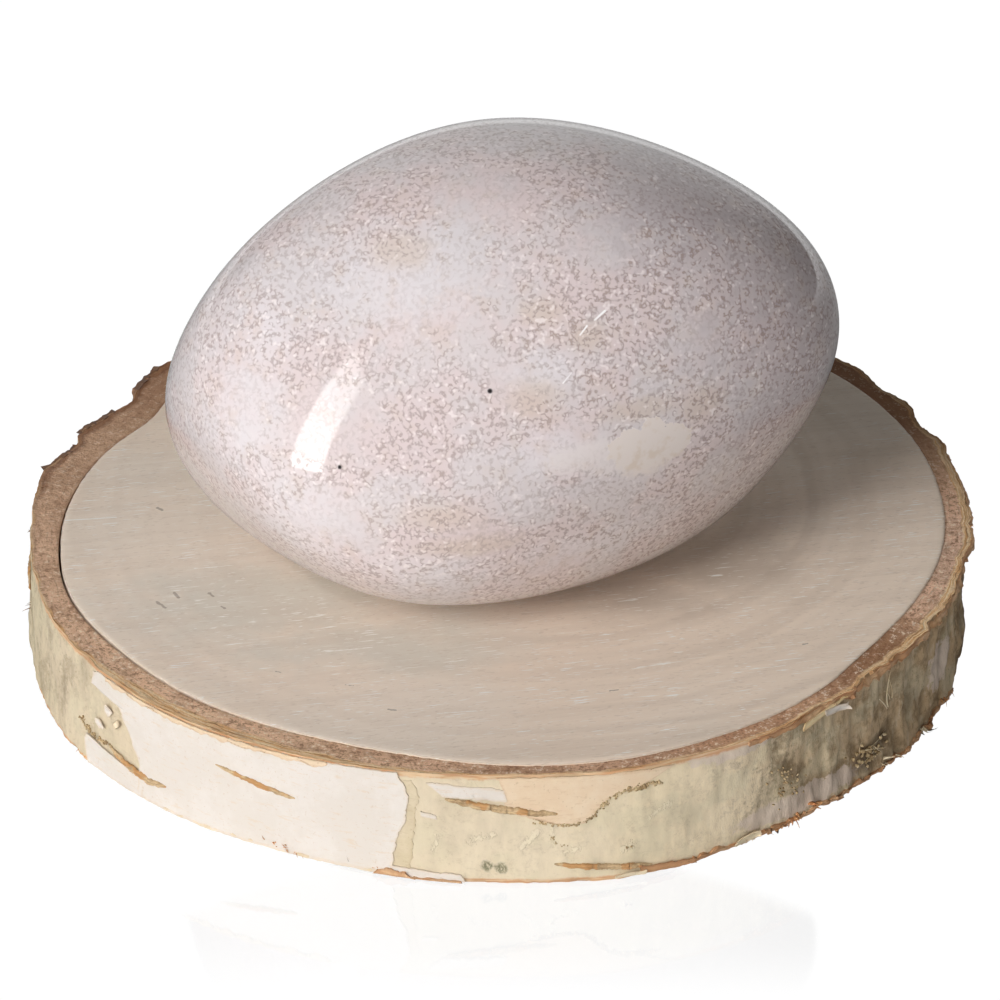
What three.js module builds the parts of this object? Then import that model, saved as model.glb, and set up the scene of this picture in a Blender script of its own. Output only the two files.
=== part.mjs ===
// A palm-sized tumbled jasper resting on a sawn slice of a birch branch.
//
// Units are millimetres and +Z is up. The origin is in the middle of the slice's
// underside, and +Y points away from the side that the stone is looked at from.
// The stone is one solid and the slice, wood and bark together, is another.
import * as THREE from 'three';

// ---------------------------------------------------------------- the birch slice

const sliceThickness = 8; // underside to the sawn face of the wood
const barkStep = 0.1; // the bark has dried to this far below the wood's face
const footChamfer = 0.35; // the bark's broken lower edge
const outlineSteps = 180; // points round the outline

// The sawn outline, anticlockwise: angle in degrees, radius of the wood, thickness of
// the bark on the upper face, and how much further out the bark is at the foot.
const outline = [
	[ - 176, 30.2, 2.05, 0.4 ],
	[ - 161, 30.75, 1.8, 0.4 ],
	[ - 148, 30.5, 2.25, 0.4 ],
	[ - 132, 30.4, 2.3, 0 ],
	[ - 118, 30.05, 2.25, - 0.1 ],
	[ - 102, 30.1, 1.9, 0.3 ],
	[ - 88, 30.7, 1.05, 0.7 ],
	[ - 74, 30.85, 1.15, 0.75 ],
	[ - 58, 30.4, 1.35, 0 ],
	[ - 47, 29.95, 1.2, 0.35 ],
	[ - 37, 29.3, 1.85, 0.4 ],
	[ - 22, 29.45, 2.1, 0.1 ],
	[ - 8, 29.95, 1.6, 0.15 ],
	[ 6, 30.15, 1.8, 0 ],
	[ 22, 30.45, 1.7, - 0.1 ],
	[ 40, 30.65, 1.85, 0 ],
	[ 62, 30.5, 1.95, 0.2 ],
	[ 86, 30.1, 2.1, 0.3 ],
	[ 110, 29.6, 2.4, 0.2 ],
	[ 130, 29.2, 2.7, 0 ],
	[ 143, 29, 2.85, 0 ],
	[ 152, 28.1, 3, 0.2 ],
	[ 162, 28.95, 2.65, 0.4 ],
	[ 172, 29.6, 2.7, 0.4 ],
];

// The seam between wood and bark. On the near left the bark has shrunk away.
const seam = { width: 0.12, depth: 0.12 };
const gap = { width: 0.2, depth: 1.1, angle: - 160, halfSpan: 52 };

// Heights of the rings that the bark's side is drawn through.
const barkLevels = [ 0.4, 1.5, 2.7, 3.9, 5.1, 6.3, 7.2 ];

// Swellings and hollows of the bark's side: angle and half-span in degrees, the
// height above the underside and its half-span, and how far it stands out.
const lumps = [
	{ angle: 139, halfSpan: 4, height: 5, halfHeight: 6, out: 0.45 },
	{ angle: 148.5, halfSpan: 3, height: 7, halfHeight: 5, out: - 0.75 },
	{ angle: 158, halfSpan: 3.5, height: 6, halfHeight: 4, out: 0.45 },
	{ angle: 163, halfSpan: 2.5, height: 7, halfHeight: 4, out: - 0.4 },
	{ angle: 169, halfSpan: 4, height: 6.5, halfHeight: 4, out: 0.3 },
	{ angle: - 34, halfSpan: 5, height: 1, halfHeight: 1.6, out: 0.4 },
	{ angle: - 12, halfSpan: 6, height: 2.4, halfHeight: 2.5, out: 0.35 },
	{ angle: 20, halfSpan: 7, height: 3.4, halfHeight: 3, out: 0.35 },
	{ angle: 71, halfSpan: 8, height: 4, halfHeight: 3, out: - 0.3 },
	{ angle: 98, halfSpan: 6, height: 3, halfHeight: 3, out: 0.4 },
];

// The old, rough bark runs along the right-hand side and round the back. Its ridges
// run up and down the branch.
const roughBark = { angle: 35, halfSpan: 85, ridge: 0.18, ridges: 34 };

// ------------------------------------------------------------------ the jasper

const stoneHalfLength = 26;
const stoneHalfWidth = 16.8;
const stoneHalfHeight = 17.9;
const stoneYaw = 10; // degrees, the right-hand end is turned away
const stoneRoll = - 6; // degrees, the right-hand end is lifted
const stoneX = - 1.2;
const stoneY = - 3.7;
const restGap = 0.05; // keeps the stone clear of the wood that it rests on
const stoneDetail = 14; // extra cuts along each edge of the icosahedron it is drawn from

// The broken faces of the raw stone, worn nearly away in the tumbler: the way each one
// faces, as an azimuth and an elevation in degrees, and its distance from the middle.
const wornFaces = [
	{ azimuth: 220, elevation: - 35, distance: 18.2 },
	{ azimuth: 300, elevation: - 20, distance: 16.1 },
	{ azimuth: 330, elevation: - 35, distance: 19.1 },
	{ azimuth: 35, elevation: - 15, distance: 20.4 },
	{ azimuth: 120, elevation: - 30, distance: 15.7 },
	{ azimuth: 55, elevation: 40, distance: 20.5 },
	{ azimuth: 140, elevation: 30, distance: 17.1 },
	{ azimuth: 200, elevation: 10, distance: 21.9 },
	{ azimuth: 255, elevation: 35, distance: 15.5 },
	{ azimuth: 290, elevation: 15, distance: 18.2 },
	{ azimuth: 270, elevation: - 60, distance: 17.4 },
	{ azimuth: 0, elevation: - 90, distance: 12.6 },
];
const edgeSharpness = 8; // higher leaves crisper edges between the worn faces

// ------------------------------------------------------------------ the geometry

const { degToRad, radToDeg, euclideanModulo, lerp } = THREE.MathUtils;

// 1 at the middle of a span of degrees, falling smoothly to 0 at its ends.
function within( angle, middle, halfSpan ) {

	const away = Math.abs( euclideanModulo( angle - middle + 180, 360 ) - 180 ) / halfSpan;
	return away < 1 ? 0.5 + 0.5 * Math.cos( Math.PI * away ) : 0;

}

// A closed smooth curve at radius( row ) round the outline.
function outlineCurve( radius ) {

	return new THREE.CatmullRomCurve3( outline.map( ( row ) => {

		const angle = degToRad( row[ 0 ] );
		return new THREE.Vector3( radius( row ) * Math.cos( angle ), radius( row ) * Math.sin( angle ), 0 );

	} ), true );

}

// How far the bark's side stands out from its sawn outline.
function barkRelief( angle, z ) {

	let out = roughBark.ridge * within( angle, roughBark.angle, roughBark.halfSpan )
		* Math.sin( roughBark.ridges * degToRad( angle ) + 0.5 * z );
	for ( const lump of lumps ) {

		const up = Math.max( 0, 1 - ( ( z - lump.height ) / lump.halfHeight ) ** 2 );
		out += lump.out * within( angle, lump.angle, lump.halfSpan ) * up;

	}

	return out;

}

// A closed solid from the same number of [ radius, z ] points at each angle, the first
// and the last of them on the axis.
function solidOfProfiles( profiles, angles ) {

	const steps = profiles.length;
	const rings = profiles[ 0 ].length - 2;
	const positions = [];
	const indices = [];
	const corner = ( ring, step ) => ring * steps + ( step % steps );
	const addPoint = ( [ radius, z ], angle ) => {

		positions.push( radius * Math.cos( angle ), radius * Math.sin( angle ), z );

	};

	for ( let ring = 1; ring <= rings; ring ++ )
		profiles.forEach( ( profile, step ) => addPoint( profile[ ring ], angles[ step ] ) );
	const bottom = positions.length / 3;
	addPoint( profiles[ 0 ][ 0 ], 0 );
	addPoint( profiles[ 0 ][ rings + 1 ], 0 );
	const top = bottom + 1;

	for ( let step = 0; step < steps; step ++ ) {

		indices.push( bottom, corner( 0, step + 1 ), corner( 0, step ) );
		for ( let ring = 0; ring < rings - 1; ring ++ ) {

			const [ a, b ] = [ corner( ring, step ), corner( ring, step + 1 ) ];
			const [ c, d ] = [ corner( ring + 1, step ), corner( ring + 1, step + 1 ) ];
			indices.push( a, b, d, a, d, c );

		}

		indices.push( top, corner( rings - 1, step ), corner( rings - 1, step + 1 ) );

	}

	const geometry = new THREE.BufferGeometry();
	geometry.setAttribute( 'position', new THREE.Float32BufferAttribute( positions, 3 ) );
	geometry.setIndex( indices );
	return geometry;

}

function birchSliceGeometry() {

	const woodCurve = outlineCurve( ( [ , wood ] ) => wood );
	const rimCurve = outlineCurve( ( [ , wood, bark ] ) => wood + bark );
	const footCurve = outlineCurve( ( [ , wood, bark, foot ] ) => wood + bark + foot );
	const barkTop = sliceThickness - barkStep;
	const profiles = [];
	const angles = [];

	for ( let step = 0; step < outlineSteps; step ++ ) {

		const along = step / outlineSteps;
		const rimPoint = rimCurve.getPoint( along );
		const angle = Math.atan2( rimPoint.y, rimPoint.x );
		const wood = woodCurve.getPoint( along ).length();
		const rim = rimPoint.length();
		const foot = footCurve.getPoint( along ).length();
		const opening = within( radToDeg( angle ), gap.angle, gap.halfSpan );
		const seamWidth = seam.width + gap.width * opening;
		const seamFloor = barkTop - seam.depth - gap.depth * opening;
		const side = ( z ) => lerp( foot, rim, z / barkTop ) + barkRelief( radToDeg( angle ), z );

		angles.push( angle );
		profiles.push( [
			[ 0, 0 ],
			[ side( 0 ) - footChamfer, 0 ],
			...barkLevels.map( ( z ) => [ side( z ), z ] ),
			[ side( barkTop ), barkTop ],
			[ wood + seamWidth, barkTop ],
			[ wood + seamWidth, seamFloor ],
			[ wood, seamFloor ],
			[ wood, sliceThickness ],
			[ 0, sliceThickness ],
		] );

	}

	return solidOfProfiles( profiles, angles );

}

// The unit vector towards an azimuth from +X and an elevation from the level.
function direction( azimuth, elevation ) {

	const around = degToRad( azimuth );
	const level = Math.cos( degToRad( elevation ) );
	const up = Math.sin( degToRad( elevation ) );
	return new THREE.Vector3( level * Math.cos( around ), level * Math.sin( around ), up );

}

// An ellipsoid cut by the worn faces, every edge rounded over.
function stoneGeometry() {

	const geometry = new THREE.IcosahedronGeometry( 1, stoneDetail );
	const halves = new THREE.Vector3( stoneHalfLength, stoneHalfWidth, stoneHalfHeight );
	const toStoneAxes = new THREE.Quaternion()
		.setFromEuler( new THREE.Euler( 0, degToRad( stoneRoll ), degToRad( stoneYaw ), 'ZYX' ) ).invert();
	const faces = wornFaces.map( ( { azimuth, elevation, distance } ) =>
		direction( azimuth, elevation ).divideScalar( distance ) );
	const points = geometry.getAttribute( 'position' );
	const outward = new THREE.Vector3();
	const local = new THREE.Vector3();

	for ( let i = 0; i < points.count; i ++ ) {

		outward.fromBufferAttribute( points, i ).normalize();
		local.copy( outward ).applyQuaternion( toStoneAxes ).divide( halves );
		let sum = local.length() ** edgeSharpness;
		for ( const face of faces ) sum += Math.max( 0, face.dot( outward ) ) ** edgeSharpness;
		outward.multiplyScalar( sum ** ( - 1 / edgeSharpness ) );
		points.setXYZ( i, outward.x, outward.y, outward.z );

	}

	return geometry;

}

const birchSlice = new THREE.Mesh(
	birchSliceGeometry(),
	new THREE.MeshStandardMaterial( { color: 0xc4b5a2, roughness: 0.8, metalness: 0 } ),
);
birchSlice.name = 'birch_slice';

const jasperStone = new THREE.Mesh(
	stoneGeometry(),
	new THREE.MeshStandardMaterial( { color: 0xcbbfbe, roughness: 0.15, metalness: 0 } ),
);
jasperStone.name = 'jasper_stone';

// The stone is set down on the wood.
jasperStone.geometry.computeBoundingBox();
const stoneBottom = jasperStone.geometry.boundingBox.min.z;
jasperStone.position.set( stoneX, stoneY, sliceThickness + restGap - stoneBottom );

// Both are moved together, so that the slice's own middle is over the origin.
birchSlice.geometry.computeBoundingBox();
const middle = birchSlice.geometry.boundingBox.getCenter( new THREE.Vector3() );
const part = new THREE.Group();
part.add( birchSlice, jasperStone );
part.position.set( - middle.x, - middle.y, 0 );

export default part;
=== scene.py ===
import math
import random
import bmesh
import bpy
import numpy as np
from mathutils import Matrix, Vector, noise
from mathutils.bvhtree import BVHTree


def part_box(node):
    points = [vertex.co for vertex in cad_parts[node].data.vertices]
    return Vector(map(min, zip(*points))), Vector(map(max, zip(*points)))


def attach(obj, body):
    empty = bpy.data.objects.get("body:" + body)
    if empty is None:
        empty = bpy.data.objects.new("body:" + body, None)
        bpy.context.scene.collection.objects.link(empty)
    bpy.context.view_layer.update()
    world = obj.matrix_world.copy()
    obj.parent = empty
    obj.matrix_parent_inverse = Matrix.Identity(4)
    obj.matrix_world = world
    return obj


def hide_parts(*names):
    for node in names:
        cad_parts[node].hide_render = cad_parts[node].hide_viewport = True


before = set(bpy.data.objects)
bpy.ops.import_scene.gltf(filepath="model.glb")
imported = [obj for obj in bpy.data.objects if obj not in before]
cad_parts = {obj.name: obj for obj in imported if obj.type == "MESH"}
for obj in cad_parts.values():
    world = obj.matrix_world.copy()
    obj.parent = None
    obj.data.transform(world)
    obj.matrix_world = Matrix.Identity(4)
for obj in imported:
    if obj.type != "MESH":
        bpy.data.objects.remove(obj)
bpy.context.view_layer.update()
mm = 0.001
random.seed(7)

# Angles run round the slice from its front, in degrees, positive towards the right.
# Heights and distances in the dictionaries are in millimetres.
mmPerDegree = 0.56  # of bark


def activate(*pieces):
    bpy.ops.object.select_all(action='DESELECT')
    for piece in pieces:
        piece.select_set(True)
    bpy.context.view_layer.objects.active = pieces[0]


def pick(piece, kind, test):
    bpy.ops.mesh.select_mode(type=kind)
    bpy.ops.mesh.select_all(action='DESELECT')
    shape = bmesh.from_edit_mesh(piece.data)
    for item in {'EDGE': shape.edges, 'FACE': shape.faces}[kind]:
        if test(item):
            item.select_set(True)
    shape.select_flush_mode()
    bmesh.update_edit_mesh(piece.data)


def drawRings(radius, grow, rows):
    for step in range(rows):
        ratio = (radius + grow * (step + 1) / rows) / (radius + grow * step / rows)
        bpy.ops.mesh.extrude_edges_move()
        bpy.ops.transform.resize(value=(ratio, ratio, 1))


def newPiece(name):
    piece = bpy.context.object
    piece.name = name
    piece.data.name = name
    bpy.ops.object.transform_apply(location=True, rotation=True, scale=True)
    return piece


def copyPiece(piece):
    made = piece.copy()
    made.data = piece.data.copy()
    bpy.context.scene.collection.objects.link(made)
    return made


def applyModifier(piece, kind, **values):
    activate(piece)
    made = piece.modifiers.new(kind.lower(), kind)
    for key, value in values.items():
        setattr(made, key, value)
    bpy.ops.object.modifier_apply(modifier=made.name)


def readPoints(piece):
    flat = np.empty(len(piece.data.vertices) * 3, np.float32)
    piece.data.vertices.foreach_get('co', flat)
    return flat.reshape(-1, 3).astype(np.float64)


def writePoints(piece, points):
    piece.data.vertices.foreach_set('co', points.astype(np.float32).ravel())
    piece.data.update()


def paintValues(piece, name, values):
    layer = piece.data.attributes.new(name, 'FLOAT', 'POINT')
    layer.data.foreach_set('value', np.asarray(values, np.float32))


def unroll(points):
    angle = np.degrees(np.arctan2(points[:, 0], -points[:, 1]))
    return angle, np.hypot(points[:, 0], points[:, 1]) / mm, points[:, 2] / mm


def aroundSlice(angle, radius, height):
    turn = np.radians(angle)
    return np.stack([np.sin(turn) * radius, -np.cos(turn) * radius, height], 1) * mm


def readStops(stops, at):
    return np.interp(at, *zip(*stops))


def relief(x, y, z, rough, gap, octaves):
    return noise.fractal(Vector((x, y, z)), rough, gap, octaves)


def ease(value):
    value = np.clip(value, 0.0, 1.0)
    return value * value * (3 - 2 * value)


# Node helpers. Each one works in the tree that was started last.
tree = None


def shade(red, green, blue):
    return tuple((c / 255 / 12.92) if c < 11 else ((c / 255 + 0.055) / 1.055) ** 2.4
                 for c in (red, green, blue)) + (1.0,)


def plug(socket, value):
    if isinstance(value, bpy.types.NodeSocket):
        tree.links.new(value, socket)
    else:
        socket.default_value = value


def addNode(kind, settings=None, sockets=None):
    made = tree.nodes.new('ShaderNode' + kind)
    for key, value in (settings or {}).items():
        setattr(made, key, value)
    for key, value in (sockets or {}).items():
        plug(made.inputs[key], value)
    return made


def calc(operation, first, second=0.0, clamp=False):
    return addNode('Math', {'operation': operation, 'use_clamp': clamp},
                   {0: first, 1: second}).outputs[0]


def times(first, second):
    return calc('MULTIPLY', first, second)


def plus(first, second, clamp=False):
    return calc('ADD', first, second, clamp)


def minus(first, second):
    return calc('SUBTRACT', first, second)


def calcVector(operation, first, second):
    return addNode('VectorMath', {'operation': operation}, {0: first, 1: second}).outputs[0]


def stretch(place, by):
    return calcVector('MULTIPLY', place, by)


def measure(operation, first, second=(0, 0, 0)):
    # the length of a vector, or the dot product of two
    return addNode('VectorMath', {'operation': operation}, {0: first, 1: second}).outputs[1]


def vector(*parts):
    return addNode('CombineXYZ', {}, dict(enumerate(parts))).outputs[0]


def split(place):
    return addNode('SeparateXYZ', {}, {0: place}).outputs


def cloud(place, scale, detail=2.0, rough=0.5):
    return addNode('TexNoise', {}, {'Vector': place, 'Scale': scale, 'Detail': detail,
                   'Roughness': rough}).outputs[0]


def sway(reach, *cloudy):
    return times(minus(cloud(*cloudy), 0.5), reach)


def remap(value, low, high, toLow=0.0, toHigh=1.0):
    return addNode('MapRange', {'interpolation_type': 'SMOOTHSTEP'},
                   {0: value, 1: low, 2: high, 3: toLow, 4: toHigh}).outputs[0]


def mixValues(amount, first, second):
    return addNode('Mix', {}, {0: amount, 2: first, 3: second}).outputs[0]


def blend(amount, first, second):
    return addNode('Mix', {'data_type': 'RGBA'}, {0: amount, 6: first, 7: second}).outputs[2]


def tint(ground, colour, mask, share=None):
    return blend(mask if share is None else times(mask, share), ground, shade(*colour))


def coat(ground, look, *coats):
    for key, *mask in coats:
        ground = tint(ground, look[key], *mask)
    return ground


def painted(name):
    return addNode('Attribute', {'attribute_name': name}).outputs[2]


def highest(masks):
    total = masks[0]
    for mask in masks[1:]:
        total = calc('MAXIMUM', total, mask)
    return total


def emboss(skin, heights, strength):
    bump = addNode('Bump', {}, {'Height': heights, 'Strength': strength, 'Distance': mm})
    plug(skin.inputs['Normal'], bump.outputs[0])


def tones(value, stops):
    made = addNode('ValToRGB', {}, {0: value})
    band = made.color_ramp.elements
    for place, colour in stops[2:]:
        band.new(place)
    for element, (place, colour) in zip(band, sorted(stops)):
        element.position = place
        element.color = colour
    return made.outputs[0]


def startMaterial(name):
    global tree
    made = bpy.data.materials.new(name)
    made.use_nodes = True
    tree = made.node_tree
    skin = tree.nodes['Principled BSDF']
    coords = addNode('TexCoord').outputs['Object']
    place = stretch(coords, (1000, 1000, 1000))  # millimetres
    return made, skin, place


def placeGroup(group, **values):
    made = tree.nodes.new('ShaderNodeGroup')
    made.node_tree = group
    for key, value in values.items():
        plug(made.inputs[key], value)
    return made.outputs[0]


def startGroup(name, output, **inputs):
    global tree
    group = bpy.data.node_groups.new(name, 'ShaderNodeTree')
    for label, value in inputs.items():
        kind = 'NodeSocketVector' if isinstance(value, tuple) else 'NodeSocketFloat'
        socket = group.interface.new_socket(name=label, in_out='INPUT', socket_type=kind)
        socket.default_value = value
    group.interface.new_socket(name=output, in_out='OUTPUT', socket_type='NodeSocketFloat')
    tree = group
    enter = group.nodes.new('NodeGroupInput')
    leave = group.nodes.new('NodeGroupOutput')
    return group, enter.outputs, leave.inputs


def dress(skin, colour, value, low, high):
    # the colour, and a roughness that follows a value
    plug(skin.inputs['Base Color'], colour)
    plug(skin.inputs['Roughness'], remap(value, 0.3, 0.7, low, high))


# A patch of colour with a broken edge round a centre
softSpot, given, out = startGroup('softSpot', 'mask', place=(0, 0, 0), centre=(0, 0, 0),
                                  reach=(1, 1, 1), wobble=0.0, soft=0.2)
away = calcVector('DIVIDE', calcVector('SUBTRACT', given[0], given[1]), given[2])
edge = plus(measure('LENGTH', away), given[3])
plug(out[0], remap(edge, plus(1.0, given[4]), minus(1.0, given[4])))

# A straight mark between two points
scoreLine, given, out = startGroup('scoreLine', 'mask', place=(0, 0, 0), first=(0, 0, 0),
                                   second=(1, 0, 0), thick=0.1, wobble=0.0)
span = calcVector('SUBTRACT', given[2], given[1])
reach = calcVector('SUBTRACT', given[0], given[1])
share = calc('DIVIDE', measure('DOT_PRODUCT', reach, span), measure('DOT_PRODUCT', span, span), True)
nearest = addNode('VectorMath', {'operation': 'SCALE'}, {0: span, 3: share}).outputs[0]
edge = plus(measure('LENGTH', calcVector('SUBTRACT', reach, nearest)), given[4])
plug(out[0], remap(edge, given[3], times(given[3], 0.5)))

# Thin dashes that lie along X of the vector they are given
dashes, given, out = startGroup('dashes', 'mask', place=(0, 0, 0), longest=2.0, thick=0.1, share=0.3)
narrow = calc('DIVIDE', 1.0, given[2])
squeeze = vector(calc('DIVIDE', 1.0, given[1]), narrow, narrow)
fine = cloud(stretch(given[0], squeeze), 1.0, 1.0, 0.4)
limit = minus(0.8, times(given[3], 0.4))
plug(out[0], remap(fine, limit, plus(limit, 0.05)))

# Broad and fine mottling in one value about a half
mottle, given, out = startGroup('mottle', 'value', place=(0, 0, 0), broad=0.5, fine=3.0, mix=0.4)
wide = cloud(given[0], given[1], 3.0, 0.55)
small = cloud(given[0], given[2], 3.0, 0.65)
plug(out[0], mixValues(given[3], wide, small))

print('helpers ready')

# The slice's outline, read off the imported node
outlineRead = {'farOut': 60, 'seamHeight': 7.88, 'widestSeam': 0.35, 'evenOut': 1.2,
               'heights': [0.4, 1.4, 2.4, 3.4, 4.4, 5.4, 6.4, 7.2, 7.8]}


def evenRound(table):
    reach = np.arange(-5, 6)
    weights = np.exp(-(reach / outlineRead['evenOut']) ** 2 / 2)
    return sum(w * np.roll(table, s, axis=0) for s, w in zip(reach, weights)) / weights.sum()


def readOutline(node):
    solid = BVHTree.FromObject(node, bpy.context.evaluated_depsgraph_get())
    heights, farOut = outlineRead['heights'], outlineRead['farOut']
    rim, wall, skin = np.zeros(360), np.zeros(360), np.zeros((360, len(heights)))
    for i in range(360):
        turn = math.radians(i - 180)
        way = Vector((math.sin(turn), -math.cos(turn), 0))
        start = Vector((0, 0, outlineRead['seamHeight'] * mm))
        rim[i] = solid.ray_cast(start, way)[3] / mm
        beyond = rim[i] + 0.02
        gap = solid.ray_cast(start + way * beyond * mm, way)[3] / mm
        wall[i] = min(beyond + gap, rim[i] + outlineRead['widestSeam'])
        for j, height in enumerate(heights):
            far = way * farOut * mm + Vector((0, 0, height * mm))
            skin[i, j] = farOut - solid.ray_cast(far, -way)[3] / mm
    return evenRound(rim), evenRound(wall), evenRound(skin)


woodRim, barkWall, barkSkin = readOutline(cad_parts['birch_slice'])


def sampleRound(table, angle):
    place = (np.asarray(angle, float) + 180) % 360
    low = np.floor(place).astype(int) % 360
    part = place - np.floor(place)
    if table.ndim > 1:
        part = part[..., None]
    return table[low] * (1 - part) + table[(low + 1) % 360] * part


def skinRadius(angle, height):
    angle, height = np.atleast_1d(angle).astype(float), np.atleast_1d(height).astype(float)
    heights = np.array(outlineRead['heights'])
    rows = sampleRound(barkSkin, angle)
    level = np.clip(np.interp(height, heights, np.arange(len(heights))), 0, len(heights) - 1.001)
    low = np.floor(level).astype(int)
    part = level - low
    index = np.arange(len(angle))
    return rows[index, low] * (1 - part) + rows[index, low + 1] * part


# How weathered the bark is round the slice, from smooth paper (0) to old bark (1)
barkRelief = {
    'weathered': [(-180, 0.7), (-150, 0.8), (-120, 0.75), (-98, 0.6), (-85, 0.4), (-70, 0.35),
        (-58, 0.3), (-50, 0.08), (-12, 0.05), (-6, 0.16), (12, 0.18), (26, 0.22), (31, 0.3), (36, 0.6),
        (45, 0.85), (60, 0.95), (85, 0.9), (110, 0.9), (135, 0.5), (160, 0.4), (180, 0.75)],
    'wornBack': [(-180, 0.0), (70, 0.0), (80, 0.28), (86, 0.48), (98, 0.5), (110, 0.0), (180, 0.0)],
    'wornUp': [(6.4, 1), (7.3, 0)], 'ridge': 0.3, 'knob': 0.18, 'pit': 0.09, 'wave': 0.03,
    'footHeight': 0.6, 'footRound': 0.13, 'lipHeight': 0.6, 'lipBreak': 0.06, 'lipChip': 0.5}


def reliefAt(angle, height):
    worn = readStops(barkRelief['weathered'], angle)
    hollowed = readStops(barkRelief['wornBack'], angle) * readStops(barkRelief['wornUp'], height)
    out = np.zeros(len(angle))
    for i, (turn, up, wear) in enumerate(zip(np.radians(angle), height, worn)):
        x, y = 32 * math.sin(turn), -32 * math.cos(turn)
        ridge = relief(x * 0.8, y * 0.8, up * 0.2, 0.8, 2.1, 4)
        knob = relief(x * 0.35, y * 0.35, up * 0.4 + 9, 0.9, 2.0, 2)
        pit = noise.noise(Vector((x * 2.3, y * 2.3, up * 1.5 + 30)))
        wave = noise.noise(Vector((x * 0.3, y * 0.3, up * 0.25 + 50)))
        foot = max(0.0, 1 - up / barkRelief['footHeight'])
        lip = max(0.0, 1 - (7.9 - up) / barkRelief['lipHeight'])
        torn = relief(x * 1.3, y * 1.3, 70, 0.7, 2.2, 4)
        chip = max(-0.5, min(0.2, noise.noise(Vector((x * 0.42, y * 0.42, 120)))))
        ridge *= 1 - 0.65 * lip
        tornLow = relief(x * 1.1, y * 1.1, 90, 0.7, 2.2, 4)
        out[i] = (wear * (barkRelief['ridge'] * ridge + barkRelief['knob'] * knob
                          + barkRelief['pit'] * pit) + barkRelief['wave'] * wave
                  - foot * foot * barkRelief['footRound'] * (0.6 + 0.9 * tornLow)
                  + lip * (0.25 + wear) * (barkRelief['lipBreak'] * torn + barkRelief['lipChip'] * chip))
    return out - hollowed


# The ring of bark: its side, the sawn face, the wall to the wood and the underside
birchRing = {
    'columns': 1100, 'sideRows': 44, 'faceRows': 12, 'underRows': 5, 'outside': 32.0,
    'inside': 30.0, 'thick': 7.9, 'wallDepths': [0.12, 0.3, 0.8, 1.6, 4.0, 7.9],
    'gap': [(-125, 0.15), (-112, 0.9), (-80, 1.3), (-45, 1.0), (-20, 0.15)],
    'seam': 0.5, 'grit': 0.05,
    'faceAbove': 7.7, 'footBelow': 0.05, 'wallWithin': 31.2}


ring = birchRing
bpy.ops.object.select_all(action='DESELECT')
bpy.ops.mesh.primitive_cylinder_add(
    vertices=ring['columns'], radius=ring['outside'] * mm, depth=ring['thick'] * mm,
    end_fill_type='NOTHING', location=(0, 0, ring['thick'] / 2 * mm))
birchBark = newPiece('birchBark')
bpy.ops.object.mode_set(mode='EDIT')
pick(birchBark, 'EDGE', lambda e: abs(e.verts[0].co.z - e.verts[1].co.z) > mm)
bpy.ops.mesh.subdivide(number_cuts=ring['sideRows'] - 1)
pick(birchBark, 'EDGE', lambda e: min(v.co.z for v in e.verts) > (ring['thick'] - 0.01) * mm)
width = ring['outside'] - ring['inside']
drawRings(ring['outside'], -width, ring['faceRows'])
reached = 0.0
for depth in ring['wallDepths']:
    bpy.ops.mesh.extrude_edges_move()
    bpy.ops.transform.translate(value=(0, 0, (reached - depth) * mm))
    reached = depth
drawRings(ring['inside'], width, ring['underRows'])
bpy.ops.mesh.select_all(action='SELECT')
bpy.ops.mesh.remove_doubles(threshold=0.01 * mm)
bpy.ops.mesh.normals_make_consistent(inside=False)
bpy.ops.object.mode_set(mode='OBJECT')

blank = readPoints(birchBark)
angle, radius, height = unroll(blank)
across = np.clip((radius - ring['inside']) / width, 0, 1)
gapDepth = readStops(ring['gap'], angle)
depth = ring['thick'] - height
onWall = across < 0.001
closed = np.where(onWall, ease((depth - gapDepth * 0.6) / (gapDepth * 0.4 + 0.05)), 0)
closed = np.maximum(closed, (1 - ease((gapDepth - 0.15) / 0.3)) * (1 - across))
woodEdge = sampleRound(woodRim, angle)
wall = woodEdge + (sampleRound(barkWall, angle) - woodEdge) * ring['seam']
wall = wall * (1 - closed) + (woodEdge - 0.02) * closed
outer = skinRadius(angle, height) + reliefAt(angle, height)
bent = wall + (outer - wall) * across
face = ring['thick'] - 0.01
grit = np.array([relief(p[0] / mm * 2.6, p[1] / mm * 2.6, 3.0, 0.6, 2.2, 4)
                 if h > face else 0.0 for p, h in zip(blank, height)])
sawn = (height > face) * (1 - np.abs(across - 0.5) * 0.6)
height = height + sawn * (ring['grit'] * grit - 0.02)
writePoints(birchBark, aroundSlice(angle, bent, height))
paintValues(birchBark, 'across', across)
# painted shade: how far the relief sinks, used to darken the hollows
paintValues(birchBark, 'sunkShade', np.clip(-4.5 * (outer - skinRadius(angle, height)), 0, 1))
activate(birchBark)
bpy.ops.object.shade_smooth_by_angle(angle=math.radians(50))
print('bark ring', len(birchBark.data.polygons), 'faces')

# The sawn wood
sawnDisc = {'columns': 720, 'thick': 8.0,
            'insets': [0.05, 0.25, 0.6, 1.2, 2.4, 4.5, 7, 10, 14, 18, 22, 26, 29],
            'chamfer': 0.06}
bpy.ops.mesh.primitive_cylinder_add(
    vertices=sawnDisc['columns'], radius=ring['inside'] * mm, depth=sawnDisc['thick'] * mm,
    end_fill_type='NGON', location=(0, 0, sawnDisc['thick'] / 2 * mm))
birchWood = newPiece('birchWood')
bpy.ops.object.mode_set(mode='EDIT')
pick(birchWood, 'FACE', lambda f: len(f.verts) > 4)
reached = 0.0
for inset in sawnDisc['insets']:
    bpy.ops.mesh.inset(thickness=(inset - reached) * mm, depth=0)
    reached = inset
bpy.ops.mesh.poke()
pick(birchWood, 'EDGE', lambda e: abs(e.verts[0].co.z - e.verts[1].co.z) > mm)
bpy.ops.mesh.subdivide(number_cuts=7)
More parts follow.
